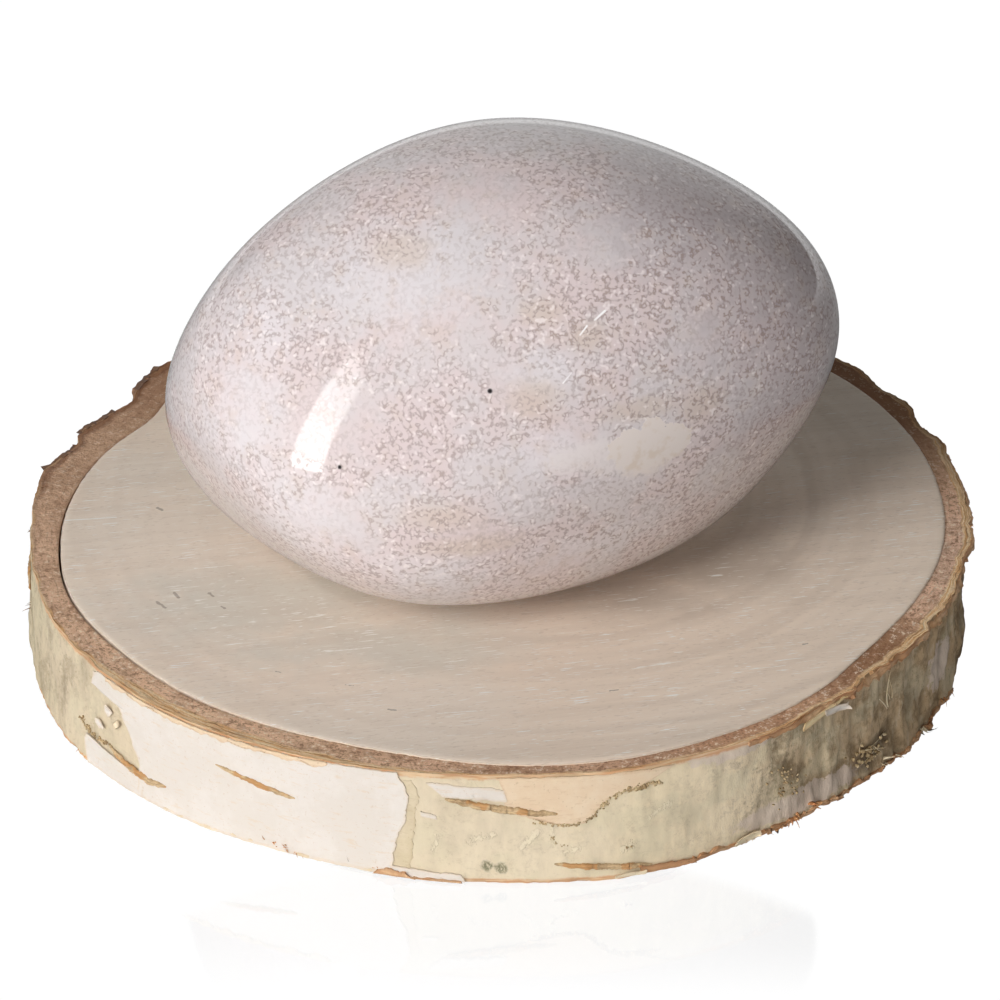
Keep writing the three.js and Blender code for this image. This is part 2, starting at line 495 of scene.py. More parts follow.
bpy.ops.object.mode_set(mode='OBJECT')
blank = readPoints(birchWood)
angle, radius, height = unroll(blank)
rim = sampleRound(woodRim, angle)
chip = np.array([relief(p[0] / mm * 1.4, p[1] / mm * 1.4, 5, 0.7, 2.1, 3) for p in blank])
edgeFrom = ring['inside'] - 0.1
bent = radius / ring['inside'] * (rim + 0.04 * chip * (radius > edgeFrom))
edgeDrop = sawnDisc['chamfer'] * np.clip((radius - edgeFrom) / 0.1, 0, 1)
height = np.where(height > sawnDisc['thick'] - 0.1, height - edgeDrop, height)
writePoints(birchWood, aroundSlice(angle, bent, height))
paintValues(birchWood, 'toRim', rim - bent)
activate(birchWood)
bpy.ops.object.shade_smooth_by_angle(angle=math.radians(40))
print('wood', len(birchWood.data.polygons), 'faces')

# The stone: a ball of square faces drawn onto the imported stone, then evened out
jasper = {'cuts': 60, 'evenOut': 14}
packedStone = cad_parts['jasper_stone']
activate(packedStone)
bpy.ops.object.duplicate()
former = bpy.context.object
former.parent = None
bpy.ops.object.mode_set(mode='EDIT')
bpy.ops.mesh.select_all(action='SELECT')
bpy.ops.mesh.remove_doubles(threshold=0.001 * mm)
bpy.ops.object.mode_set(mode='OBJECT')
applyModifier(former, 'SUBSURF', levels=2, render_levels=2)
low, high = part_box('jasper_stone')
middle, size = (low + high) / 2, high - low
bpy.ops.object.select_all(action='DESELECT')
bpy.ops.mesh.primitive_cube_add(size=1, location=(0, 0, 0))
jasperStone = bpy.context.object
bpy.ops.object.mode_set(mode='EDIT')
bpy.ops.mesh.select_all(action='SELECT')
bpy.ops.mesh.subdivide(number_cuts=jasper['cuts'])
bpy.ops.object.mode_set(mode='OBJECT')
applyModifier(jasperStone, 'CAST', cast_type='SPHERE', factor=1.0, size=0.5, use_radius_as_size=False)
jasperStone.dimensions = size
jasperStone.location = middle
jasperStone = newPiece('jasperStone')
applyModifier(jasperStone, 'SHRINKWRAP', target=former, wrap_method='NEAREST_SURFACEPOINT')
applyModifier(jasperStone, 'SMOOTH', factor=0.5, iterations=jasper['evenOut'])
applyModifier(jasperStone, 'SUBSURF', levels=1, render_levels=1)
jasperStone.dimensions = size
bpy.ops.object.transform_apply(location=True, rotation=True, scale=True)
bpy.ops.object.shade_smooth()
bpy.data.objects.remove(former)
print('stone', len(jasperStone.data.polygons), 'faces')

# Jasper: pale grey-pink ground, packed with tiny light grains in dark broken rims
jasperLook = {
    'ground': (213, 204, 204), 'paintedSheen': (210, 205, 207), 'pink': (217, 202, 201),
    'tan': (207, 188, 171), 'rim': (146, 130, 130), 'rimWarm': (158, 132, 118),
    'core': (243, 235, 233), 'patch': (225, 214, 207), 'patchWarm': (218, 203, 190),
    'pitShade': (38, 33, 34), 'scratchGlint': (252, 250, 249), 'grainsPerMm': 2.7,
    'rimWidth': 0.15, 'pitDepth': 0.08, 'scratchDepth': 0.02,
    'faint': (227, 218, 215), 'grey': (184, 172, 173),
    # painted shade: darker grey over the stone's right side, which is turned from the light
    'stoneShadeSpots': [((20.5, -6.0, 29.0), (8.0, 9.0, 8.0)), ((20.5, -7.5, 22.5), (6.0, 8.0, 6.0)),
        ((13.0, -5.0, 36.0), (6.0, 7.0, 4.0))],
    'pale': (225, 220, 223),
    # pale patches in the stone together with painted light on its lower front and lower left
    'paleAndLitSpots': [((-12.9, -17.4, 17.6), (3.0, 3.0, 3.4)), ((-16.4, -14.3, 24.4), (2.4, 3.0, 3.6)),
        ((-6.2, -11.6, 33.2), (3.6, 3.0, 3.4)), ((-5.2, -19.4, 15.4), (4.0, 3.0, 1.4)),
        ((3.4, -18.2, 23.6), (2.3, 2.4, 1.4)), ((-15.2, -12.4, 28.4), (1.4, 2.6, 2.6)),
        ((6.4, -15.9, 15.4), (6.4, 2.6, 1.3)), ((3.2, -15.9, 28.6), (2.0, 2.0, 0.9))],
    'calm': [((-4.4, -13.2, 32.0), (4.5, 4.0, 3.4)), ((1.3, -16.8, 27.6), (2.0, 2.0, 1.5)),
        ((3.6, -18.1, 23.6), (2.4, 2.2, 1.3)), ((-16.6, -13.9, 24.9), (2.6, 3.0, 3.0)),
        ((-10.9, -18.7, 18.9), (3.2, 2.6, 2.4)), ((-1.2, -8.6, 36.9), (3.6, 3.0, 1.6)),
        ((7.1, -10.8, 35.1), (2.4, 2.4, 1.6)), ((-10.9, -16.5, 25.0), (3.4, 2.5, 2.8)),
        ((12.9, -13.0, 29.7), (1.8, 1.8, 1.4)), ((-1.2, -19.4, 17.8), (2.4, 2.0, 1.4)),
        ((4.0, -16.8, 14.7), (2.6, 2.0, 1.4)), ((4.4, -17.8, 24.0), (2.3, 1.6, 1.7))],
    'tanSpots': [((2.8, -14.2, 31.8), (1.3, 1.6, 0.8)), ((5.6, -14.9, 30.4), (1.2, 1.6, 0.8)),
        ((2.2, -17.0, 26.9), (1.5, 1.6, 1.1)), ((-3.8, -19.8, 19.8), (2.4, 2.0, 0.9)),
        ((13.0, -14.3, 25.0), (1.5, 1.6, 1.2)), ((9.2, -15.9, 25.6), (2.6, 2.0, 0.7)),
        ((-6.4, -10.6, 34.3), (1.8, 1.8, 0.9)), ((-1.9, -19.7, 17.4), (2.8, 2.0, 0.7))],
    # painted reflection: a soft bluish sheen of a large light, mirrored in the polish on the upper left
    'paintedSheenSpots': [((-12.9, -10.9, 31.5), (4.2, 3.4, 3.0)), ((-3.8, -11.5, 34.0), (4.2, 3.4, 2.4)),
        ((-17.5, -8.5, 28.5), (3.4, 3.4, 4.0)), ((10.3, -9.5, 35.0), (3.6, 3.4, 1.8))],
    'patchSpots': [((8.6, -16.3, 23.1), (1.7, 3.0, 1.3)), ((10.6, -15.3, 22.7), (1.9, 3.0, 1.5)),
        ((9.9, -15.8, 24.0), (0.9, 3.0, 0.9)), ((9.4, -16.0, 21.9), (1.8, 3.0, 1.2))],
    'faintSpots': [((6.2, -17.2, 23.2), (1.7, 3.0, 1.0)), ((4.6, -17.7, 22.9), (1.6, 3.0, 0.9)),
        ((7.2, -16.9, 22.3), (1.4, 3.0, 0.9))],
    # the pits are shallow dents, painted near black as the shade inside them
    'pits': [((-0.6, -16.93, 27.47), 0.17), ((-10.23, -18.03, 22.48), 0.15)],
    # the scratches are shallow grooves, painted near white as glints of the light along them
    'scratches': [((6.75, -14.0, 31.7), (6.1, -14.38, 31.25), 0.12),
        ((5.6, -14.66, 30.97), (5.16, -15.0, 30.5), 0.11),
        ((4.65, -16.2, 28.45), (4.07, -16.58, 27.86), 0.09),
        ((-4.89, -14.8, 29.79), (-5.4, -15.43, 28.75), 0.06)]}


def gather(place, spots, wobble, soft):
    return highest([placeGroup(softSpot, place=place, centre=centre, reach=reach,
                               wobble=wobble, soft=soft) for centre, reach in spots])


polishedJasper, skin, place = startMaterial('polishedJasper')
look = jasperLook
uneven = cloud(place, 0.7, 3.0, 0.65)
wobble = times(minus(uneven, 0.5), 2.2)
fineWobble = sway(1.1, place, 1.7, 2.0, 0.7)
calm, paleAndLitSpots, stoneShadeSpots, tanSpots, paintedSheenSpots = [
    gather(place, look[spots], wobble, soft) for spots, soft in (
        ('calm', 0.5), ('paleAndLitSpots', 0.8), ('stoneShadeSpots', 0.9), ('tanSpots', 0.7), ('paintedSheenSpots', 0.7))]
sideNow, _, heightNow = split(place)
patchSoft = remap(heightNow, 22.8, 20.6, 0.04, 0.45)
patch = gather(place, look['patchSpots'], fineWobble, patchSoft)
faint = gather(place, look['faintSpots'], fineWobble, 0.5)

# the rims are where a fine cloud crosses its middle value, broken up by a second one
grain = cloud(place, look['grainsPerMm'], 1.0, 0.55)
middle = calc('ABSOLUTE', minus(grain, 0.5))
rim = remap(middle, look['rimWidth'], 0.0)
broken = remap(cloud(calcVector('ADD', place, (40, 20, 10)), 3.2, 0.0), 0.40, 0.60)
broad = cloud(place, 0.2, 3.0, 0.6)
density = times(remap(plus(broad, times(uneven, 0.6)), 0.66, 0.86, 0.55, 1.0),
                remap(calm, 0.0, 1.0, 1.0, 0.35))
density = plus(density, times(tanSpots, 0.3), clamp=True)
density = times(density, remap(patch, 0.0, 1.0, 1.0, 0.0))
density = times(density, remap(faint, 0.0, 1.0, 1.0, 0.25))
rim = times(times(rim, broken), density)
core = times(remap(grain, 0.60, 0.76), density)

ground = blend(remap(broad, 0.4, 0.6), shade(*look['ground']), shade(*look['pink']))
# the first coat is a painted reflection of a large light
ground = coat(ground, look, ('paintedSheen', paintedSheenSpots, 0.5), ('pale', paleAndLitSpots, 0.48),
              # the grey coat is painted shade on the stone's right side
              ('grey', stoneShadeSpots, 0.7), ('tan', tanSpots, 0.5), ('faint', faint, 0.7),
              ('tan', remap(uneven, 0.5, 0.7), 0.2))
patchColour = blend(remap(uneven, 0.48, 0.64), shade(*look['patch']), shade(*look['patchWarm']))
ground = blend(patch, ground, patchColour)
# painted highlight: a bright line along the top edge of the pale patch
patchEdgeHighlight = times(remap(patch, 0.0, 0.4), remap(patch, 0.95, 0.5))
patchEdgeHighlight = times(patchEdgeHighlight, remap(heightNow, 22.6, 23.8))
ground = tint(ground, look['core'], patchEdgeHighlight, 0.55)
rimNow = blend(uneven, shade(*look['rim']), shade(*look['rimWarm']))
rimShow = remap(sideNow, -6.0, 16.0, 0.6, 0.76)
ground = blend(times(rim, rimShow), ground, rimNow)
ground = tint(ground, look['core'], core, 0.6)
depth = None
# painted shade: each pit is painted dark inside
for centre, reach in look['pits']:
    mask = placeGroup(softSpot, place=place, centre=centre, reach=(reach,) * 3, soft=0.35)
    ground = tint(ground, look['pitShade'], mask)
    sunk = times(mask, -look['pitDepth'])
    depth = sunk if depth is None else plus(depth, sunk)
# painted highlight: each scratch is painted near white as a glint
for first, second, thick in look['scratches']:
    mask = placeGroup(scoreLine, place=place, first=first, second=second, thick=thick)
    ground = tint(ground, look['scratchGlint'], mask)
    depth = minus(depth, times(mask, look['scratchDepth']))
plug(skin.inputs['Base Color'], ground)
plug(skin.inputs['Roughness'], remap(rim, 0.0, 1.0, 0.3, 0.45))
skin.inputs['Coat Weight'].default_value = 1.0
skin.inputs['Coat Roughness'].default_value = 0.04
skin.inputs['Coat IOR'].default_value = 1.5
skin.inputs['Specular IOR Level'].default_value = 0.15
emboss(skin, depth, 0.5)
jasperStone.data.materials.append(polishedJasper)
print('jasper finished')

# Sawn birch: pale greyish beige with saw marks, faint rings and a few flecks
woodLook = {
    'shadeGrey': (222, 216, 202),
    # painted shade on the wood just in front of the stone's left half
    'woodShadeSpots': [((-15.5, -11.5, 8.0), (8.0, 5.0, 4.0)), ((-8.5, -16.5, 8.0), (8.0, 3.0, 4.0))],
    'brown': (206, 190, 172),
    # painted shadow: the stone's soft shadow on the wood beside its lower right edge
    'stoneShadowSpots': [((10.5, -11.0, 8.0), (4.5, 2.4, 3.0)), ((15.0, -7.0, 8.0), (4.0, 3.6, 3.0))],
    'pale': (243, 229, 212), 'warm': (246, 228, 208), 'dark': (204, 184, 163),
    'dash': (255, 252, 246), 'fleck': (140, 122, 102), 'rimColour': (150, 112, 82), 'sawTurn': 11,
    'pith': (3.0, 2.5, 0.0),
    'flecks': [((-23.4, 0.9, 8), (-23.1, 0.6, 8), 0.22), ((-22.8, -11.2, 8), (-22.2, -12.0, 8), 0.18),
        ((-21.7, -10.1, 8), (-21.4, -10.7, 8), 0.22), ((-19.4, -10.1, 8), (-19.1, -10.5, 8), 0.17),
        ((-18.5, -11.8, 8), (-18.3, -12.0, 8), 0.17), ((-14.6, -19.8, 8), (-14.3, -19.9, 8), 0.1),
        ((-10.0, -21.4, 8), (-9.5, -21.5, 8), 0.1), ((-7.2, -24.3, 8), (-6.7, -24.4, 8), 0.13),
        ((7.2, -22.1, 8), (7.7, -22.0, 8), 0.11), ((20.0, -16.5, 8), (20.3, -16.4, 8), 0.12)],
    'longScratches': [((-29.6, -0.75, 8), (-26.2, -0.35, 8), 0.1),
        ((-27.0, -1.25, 8), (-26.1, -1.1, 8), 0.07), ((-20.5, -7.0, 8), (-19.0, -6.8, 8), 0.05),
        ((-11.4, -17.4, 8), (-8.6, -16.9, 8), 0.05), ((-4.0, -24.8, 8), (-1.5, -24.5, 8), 0.05),
        ((9.0, -19.3, 8), (11.2, -18.8, 8), 0.05)]}

sawnBirch, skin, place = startMaterial('sawnBirch')
look = woodLook
along = addNode('Mapping', {}, {'Vector': place,
                'Rotation': (0, 0, math.radians(-look['sawTurn']))}).outputs[0]
sideways, forwards, _ = split(calcVector('SUBTRACT', place, look['pith']))
spread = plus(measure('LENGTH', vector(sideways, forwards)), times(cloud(place, 0.07, 2.0), 3.5))
rings = cloud(vector(spread), 0.55, 1.0, 0.5)
bands = cloud(stretch(along, (0.06, 0.9, 0.2)), 1.0, 4.0, 0.65)
ground = blend(remap(cloud(place, 0.06, 2.0), 0.38, 0.62), shade(*look['pale']), shade(*look['warm']))
loose = sway(1.6, place, 0.3, 3.0, 0.6)
# the first coat is painted shade by the stone
ground = coat(ground, look, ('shadeGrey', gather(place, look['woodShadeSpots'], loose, 0.7), 0.85),
              # the brown coat is the stone's painted shadow
              ('brown', gather(place, look['stoneShadowSpots'], loose, 0.8), 0.7))
ringShow = remap(sideways, -14.0, 16.0, 0.10, 0.32)
ringShow = times(ringShow, remap(sideways, 18.0, 24.0, 1.0, 0.4))
ground = coat(ground, look, ('dark', times(remap(rings, 0.42, 0.64), ringShow)),
              ('dark', remap(bands, 0.45, 0.62), 0.13))
pores = placeGroup(dashes, place=along, longest=0.5, thick=0.13, share=0.4)
ground = tint(ground, look['dark'], pores, 0.3)
strands = placeGroup(dashes, place=along, longest=1.5, thick=0.11, share=0.33)
short = placeGroup(dashes, place=calcVector('ADD', along, (9, 5, 2)), longest=0.7, thick=0.10,
                   share=0.30)
strands = times(calc('MAXIMUM', strands, short), remap(cloud(place, 0.35, 1.0), 0.4, 0.6, 0.4, 1.0))
ground = tint(ground, look['dash'], strands, 0.95)
shiver = sway(0.14, place, 3.0, 2.0)
for first, second, thick in look['flecks']:
    mask = placeGroup(scoreLine, place=place, first=first, second=second, thick=thick * 0.7,
                      wobble=times(shiver, 1.9))
    ground = tint(ground, look['fleck'], mask, 0.6)
for first, second, thick in look['longScratches']:
    mask = placeGroup(scoreLine, place=place, first=first, second=second, thick=thick, wobble=shiver)
    ground = tint(ground, look['dash'], mask, 0.7)
rimMask = remap(plus(painted('toRim'), times(shiver, 1.6)), 0.14, 0.02)
ground = tint(ground, look['rimColour'], rimMask, 0.25)
dress(skin, ground, bands, 0.62, 0.74)
skin.inputs['Specular IOR Level'].default_value = 0.35
grooves = cloud(stretch(along, (0.1, 5.0, 2.0)), 1.0, 2.0, 0.65)
emboss(skin, times(grooves, 0.03), 0.6)
birchWood.data.materials.append(sawnBirch)
print('wood finished')

# Bark, side: papery in front, old and mottled at the right and round the back
barkLook = {
    'round': [(-180, (188, 166, 136)), (-150, (176, 154, 124)), (-120, (182, 160, 130)),
        (-100, (200, 184, 154)), (-78, (204, 190, 160)), (-62, (211, 195, 168)), (-48, (214, 198, 170)),
        (-12, (218, 203, 176)), (-6, (221, 206, 179)), (6, (223, 208, 181)), (18, (232, 215, 183)),
        (28, (240, 222, 191)), (33, (228, 208, 176)), (37, (200, 176, 142)), (46, (194, 168, 134)),
        (58, (190, 163, 128)), (80, (186, 158, 122)), (110, (182, 154, 120)), (145, (194, 172, 142)),
        (179, (188, 166, 136))],
    'dirty': [(-180, 0.7), (-150, 0.9), (-110, 0.7), (-90, 0.4), (-60, 0.25), (-48, 0.05), (-12, 0.03),
        (0, 0.05), (22, 0.08), (30, 0.25), (34, 0.6), (40, 0.5), (70, 0.55), (100, 0.8), (140, 0.6),
        (179, 0.7)],
    'dark': (106, 87, 62), 'pale': (240, 228, 202), 'crack': (150, 124, 88),
    'green': (213, 202, 172), 'tan': (224, 190, 150), 'orange': (206, 150, 104),
    'smooth': (220, 202, 188), 'knot': (74, 58, 42), 'spotGreen': (104, 102, 74),
    'unrolled': 0.5585,
    'smoothSpots': [((21.5, 1.4, 0), (5.5, 0.95, 1)), ((15.5, 7.5, 0), (2.8, 0.7, 1)),
        ((37.5, 3.9, 0), (1.8, 1.6, 1))],
    'knotSpots': [((27.6, 1.7, 0), (1.1, 1.0, 1)), ((29.2, 2.4, 0), (1.0, 0.7, 1))],
    'greenSpots': [((-0.8, 1.27, 0), (0.34, 0.36, 1)), ((0.05, 1.15, 0), (0.36, 0.34, 1))],
    'scuffs': [((-2.0, 2.95, 0), (-0.4, 3.6, 0), 0.13), ((1.4, 2.7, 0), (2.5, 3.9, 0), 0.16),
        ((3.35, 4.35, 0), (3.4, 2.9, 0), 0.08), ((4.2, 2.25, 0), (5.2, 2.6, 0), 0.12),
        ((-4.2, 2.2, 0), (-3.9, 3.4, 0), 0.08), ((7.9, 2.2, 0), (8.3, 2.35, 0), 0.2),
        ((9.6, 4.2, 0), (11.0, 4.9, 0), 0.1)]}


def roundTones(stops):
    # stops given by angle, for a colour ramp that runs once round the slice
    return [((a + 180) / 360, shade(*c) if isinstance(c, tuple) else (c, c, c, 1)) for a, c in stops]


def roundAngle(place):
    right, back, up = split(place)
    return times(calc('ARCTAN2', right, times(back, -1)), 180 / math.pi), up


def roundFraction(degrees, wander):
    return calc('DIVIDE', plus(plus(degrees, wander), 180), 360)


def valueRound(fraction, stops):
    return addNode('SeparateColor', {}, {0: tones(fraction, roundTones(stops))}).outputs[0]


weatheredBark, skin, place = startMaterial('weatheredBark')
look = barkLook
degrees, up = roundAngle(place)
fraction = roundFraction(degrees, sway(16, place, 0.35, 4.0, 0.7))
ground = tones(fraction, roundTones(look['round']))
dirty = valueRound(fraction, look['dirty'])
roundNow = times(degrees, look['unrolled'])
unrolled = vector(roundNow, up)
streaks = cloud(stretch(place, (1, 1, 0.26)), 1.7, 4.0, 0.7)
blots = placeGroup(mottle, place=place, broad=0.55, fine=2.6, mix=0.45)
speck = cloud(stretch(place, (1, 1, 0.5)), 5.5, 3.0, 0.7)
ground = coat(ground, look, ('dark', times(remap(blots, 0.46, 0.60), plus(0.03, times(dirty, 0.95)))),
              ('pale', times(remap(streaks, 0.52, 0.68), plus(0.12, times(dirty, 0.25)))),
              ('dark', times(remap(streaks, 0.46, 0.34), times(dirty, 0.6))),
              ('green', remap(cloud(place, 0.4, 3.0), 0.46, 0.62), 0.45),
              ('dark', times(remap(speck, 0.60, 0.68), plus(0.0, times(dirty, 0.75)))),
              ('pale', times(remap(speck, 0.36, 0.30), plus(0.1, times(dirty, 0.25)))))
crackle = calc('ABSOLUTE', minus(cloud(stretch(place, (1, 1, 1.6)), 0.9, 3.0, 0.7), 0.5))
crackle = times(remap(crackle, 0.022, 0.004), remap(blots, 0.45, 0.58, 0.1, 0.9))
crackle = times(crackle, remap(dirty, 0.0, 0.5, 0.3, 0.9))
ground = tint(ground, look['crack'], crackle, 0.6)
ragged = sway(1.8, place, 1.3, 4.0, 0.7)
threads = placeGroup(dashes, place=vector(plus(up, times(ragged, 0.3)),
                                          plus(roundNow, times(ragged, 0.25))),
                     longest=2.6, thick=0.12, share=0.3)
threads = times(times(threads, dirty), remap(blots, 0.4, 0.56))
ground = coat(ground, look, ('pale', threads, 0.55),
              ('smooth', gather(unrolled, look['smoothSpots'], ragged, 0.12), 0.75),
              ('knot', gather(unrolled, look['knotSpots'], ragged, 0.5), 0.6))
spots = gather(unrolled, look['greenSpots'], times(ragged, 1.6), 0.5)
spots = times(spots, remap(speck, 0.36, 0.52, 0.25, 1.0))
ground = tint(ground, look['spotGreen'], spots, 0.85)
fray = times(minus(speck, 0.49), 1.4)
scuffed = highest([placeGroup(scoreLine, place=unrolled, first=first, second=second,
                              thick=thick * 1.5, wobble=fray)
                   for first, second, thick in look['scuffs']])
ground = tint(ground, look['pale'], scuffed, 0.45)
edges = calc('MAXIMUM', remap(plus(up, times(ragged, 0.3)), 7.45, 7.7),
             remap(plus(up, times(ragged, 0.25)), 0.42, 0.2))
flatGrain = cloud(stretch(place, (0.5, 0.5, 7)), 1.0, 3.0)
edgeColour = blend(remap(flatGrain, 0.42, 0.58), shade(*look['tan']), shade(*look['orange']))
ground = blend(times(edges, 0.85), ground, edgeColour)
# painted shade: darker where the bark's relief sinks
ground = tint(ground, look['dark'], painted('sunkShade'), 0.55)
dress(skin, ground, blots, 0.6, 0.85)
skin.inputs['Specular IOR Level'].default_value = 0.35
heights = times(plus(speck, streaks), plus(0.01, times(dirty, 0.05)))
emboss(skin, plus(heights, times(scuffed, 0.04)), 0.8)

# Bark, sawn: granular brown inner bark and thin tan and orange layers outside it
sawnLook = {
    # the darker stops from 115 to 140 degrees are partly painted shadow of the stone
    'round': [(-180, (160, 118, 88)), (-130, (184, 144, 114)), (-112, (206, 168, 138)),
        (-80, (224, 187, 156)), (-45, (240, 202, 168)), (-20, (236, 198, 164)), (-8, (232, 192, 160)),
        (0, (210, 168, 136)), (10, (224, 184, 153)), (20, (210, 166, 134)), (30, (204, 158, 124)),
        (42, (214, 170, 136)), (52, (170, 128, 96)), (60, (186, 144, 110)), (70, (244, 204, 174)),
        (82, (246, 208, 180)), (95, (232, 190, 158)), (115, (156, 116, 86)), (140, (136, 98, 72)),
        (179, (160, 118, 88))],
    'layered': [(-180, 0.3), (-140, 0.2), (-132, 0.04), (-100, 0.03), (-62, 0.08), (-54, 0.2),
        (-46, 0.5), (-36, 0.42), (-24, 0.32), (-10, 0.22), (2, 0.16), (14, 0.2), (28, 0.22), (45, 0.24),
        (70, 0.3), (100, 0.36), (125, 0.2), (179, 0.2)],
    # dark outer rim of the ring: real dark bark at the back left, painted shadow of the stone at the
    # back right
    'darkRimAndShadow': [(-180, 0.3), (-140, 0.5), (-130, 0.8), (-98, 0.6), (-90, 0.15), (-60, 0.0), (70, 0.0),
        (95, 0.1), (112, 0.5), (140, 0.6), (179, 0.3)],
    'grainy': [(-180, 0.4), (-130, 0.35), (-88, 0.5), (-66, 1.0), (90, 1.0), (110, 0.35), (179, 0.4)],
    'edgeDark': (108, 68, 48), 'edgeBrown': (152, 106, 74), 'deep': (142, 102, 76),
    'light': (246, 228, 204), 'cream': (242, 218, 178), 'orange': (222, 172, 118),
    'slit': (136, 92, 60), 'line': (116, 82, 58)}

sawnBark, skin, place = startMaterial('sawnBark')
look = sawnLook
degrees, up = roundAngle(place)
fraction = roundFraction(degrees, sway(14, place, 0.5, 3.0, 0.7))
ground = tones(fraction, roundTones(look['round']))
layered = valueRound(fraction, look['layered'])
acrossNow = painted('across')
grains = placeGroup(mottle, place=place, broad=2.2, fine=6.0, mix=0.5)
grainy = valueRound(fraction, look['grainy'])
ground = coat(ground, look, ('deep', remap(cloud(place, 0.3, 3.0, 0.6), 0.42, 0.6), 0.3),
              ('deep', times(remap(grains, 0.49, 0.39), grainy), 0.75),
              ('light', times(remap(grains, 0.54, 0.62), grainy), 0.9))
shift = sway(0.35, place, 0.7, 3.0, 0.6)
lines = vector(times(plus(acrossNow, times(shift, 0.6)), 13), times(degrees, 0.16))
lineValue = cloud(lines, 1.0, 3.0, 0.6)
layers = blend(remap(lineValue, 0.38, 0.62), shade(*look['orange']), shade(*look['cream']))
layers = tint(layers, look['slit'], remap(lineValue, 0.40, 0.33), 0.85)
layers = blend(times(remap(grains, 0.5, 0.4), 0.35), layers, ground)
edgeAt = minus(1.0, layered)
ground = blend(remap(plus(acrossNow, shift), minus(edgeAt, 0.06), plus(edgeAt, 0.06)), ground, layers)
alongRing = vector(times(acrossNow, 9), times(degrees, 0.3))
bast = cloud(alongRing, 1.0, 3.0, 0.6)
ground = tint(ground, look['deep'], remap(bast, 0.48, 0.36), 0.35)
# painted shadow of the stone at the ring's back right, with the dark rim at its back left
darkRimAndShadow = valueRound(fraction, look['darkRimAndShadow'])
darkRimAndShadow = times(darkRimAndShadow, remap(plus(acrossNow, times(shift, 1.2)), 0.72, 0.86))
edgeShade = blend(remap(lineValue, 0.42, 0.62), shade(*look['edgeDark']), shade(*look['edgeBrown']))
ground = blend(times(darkRimAndShadow, 0.95), ground, edgeShade)
innerLine = remap(plus(acrossNow, times(shift, 0.3)), 0.10, 0.02)
ground = tint(ground, look['line'], innerLine, 0.3)
plug(skin.inputs['Base Color'], ground)
skin.inputs['Roughness'].default_value = 0.8
skin.inputs['Specular IOR Level'].default_value = 0.3
emboss(skin, times(grains, 0.12), 0.8)
birchBark.data.materials.append(weatheredBark)
birchBark.data.materials.append(sawnBark)
ups, centres = [np.zeros(len(birchBark.data.polygons) * 3, np.float32) for _ in range(2)]
birchBark.data.polygons.foreach_get('normal', ups)
birchBark.data.polygons.foreach_get('center', centres)
ups, centres = ups.reshape(-1, 3), centres.reshape(-1, 3)
level, up = np.abs(ups[:, 2]) > 0.6, centres[:, 2]
flat = level & ((up > ring['faceAbove'] * mm) | (up < ring['footBelow'] * mm))
outward = (ups[:, 0] * centres[:, 0] + ups[:, 1] * centres[:, 1]) > 0
inside = np.hypot(centres[:, 0], centres[:, 1]) < ring['wallWithin'] * mm
flat |= ~outward & ~level & (up < ring['thick'] * mm) & inside
birchBark.data.polygons.foreach_set('material_index', flat.astype(np.int32))
print('bark finished')

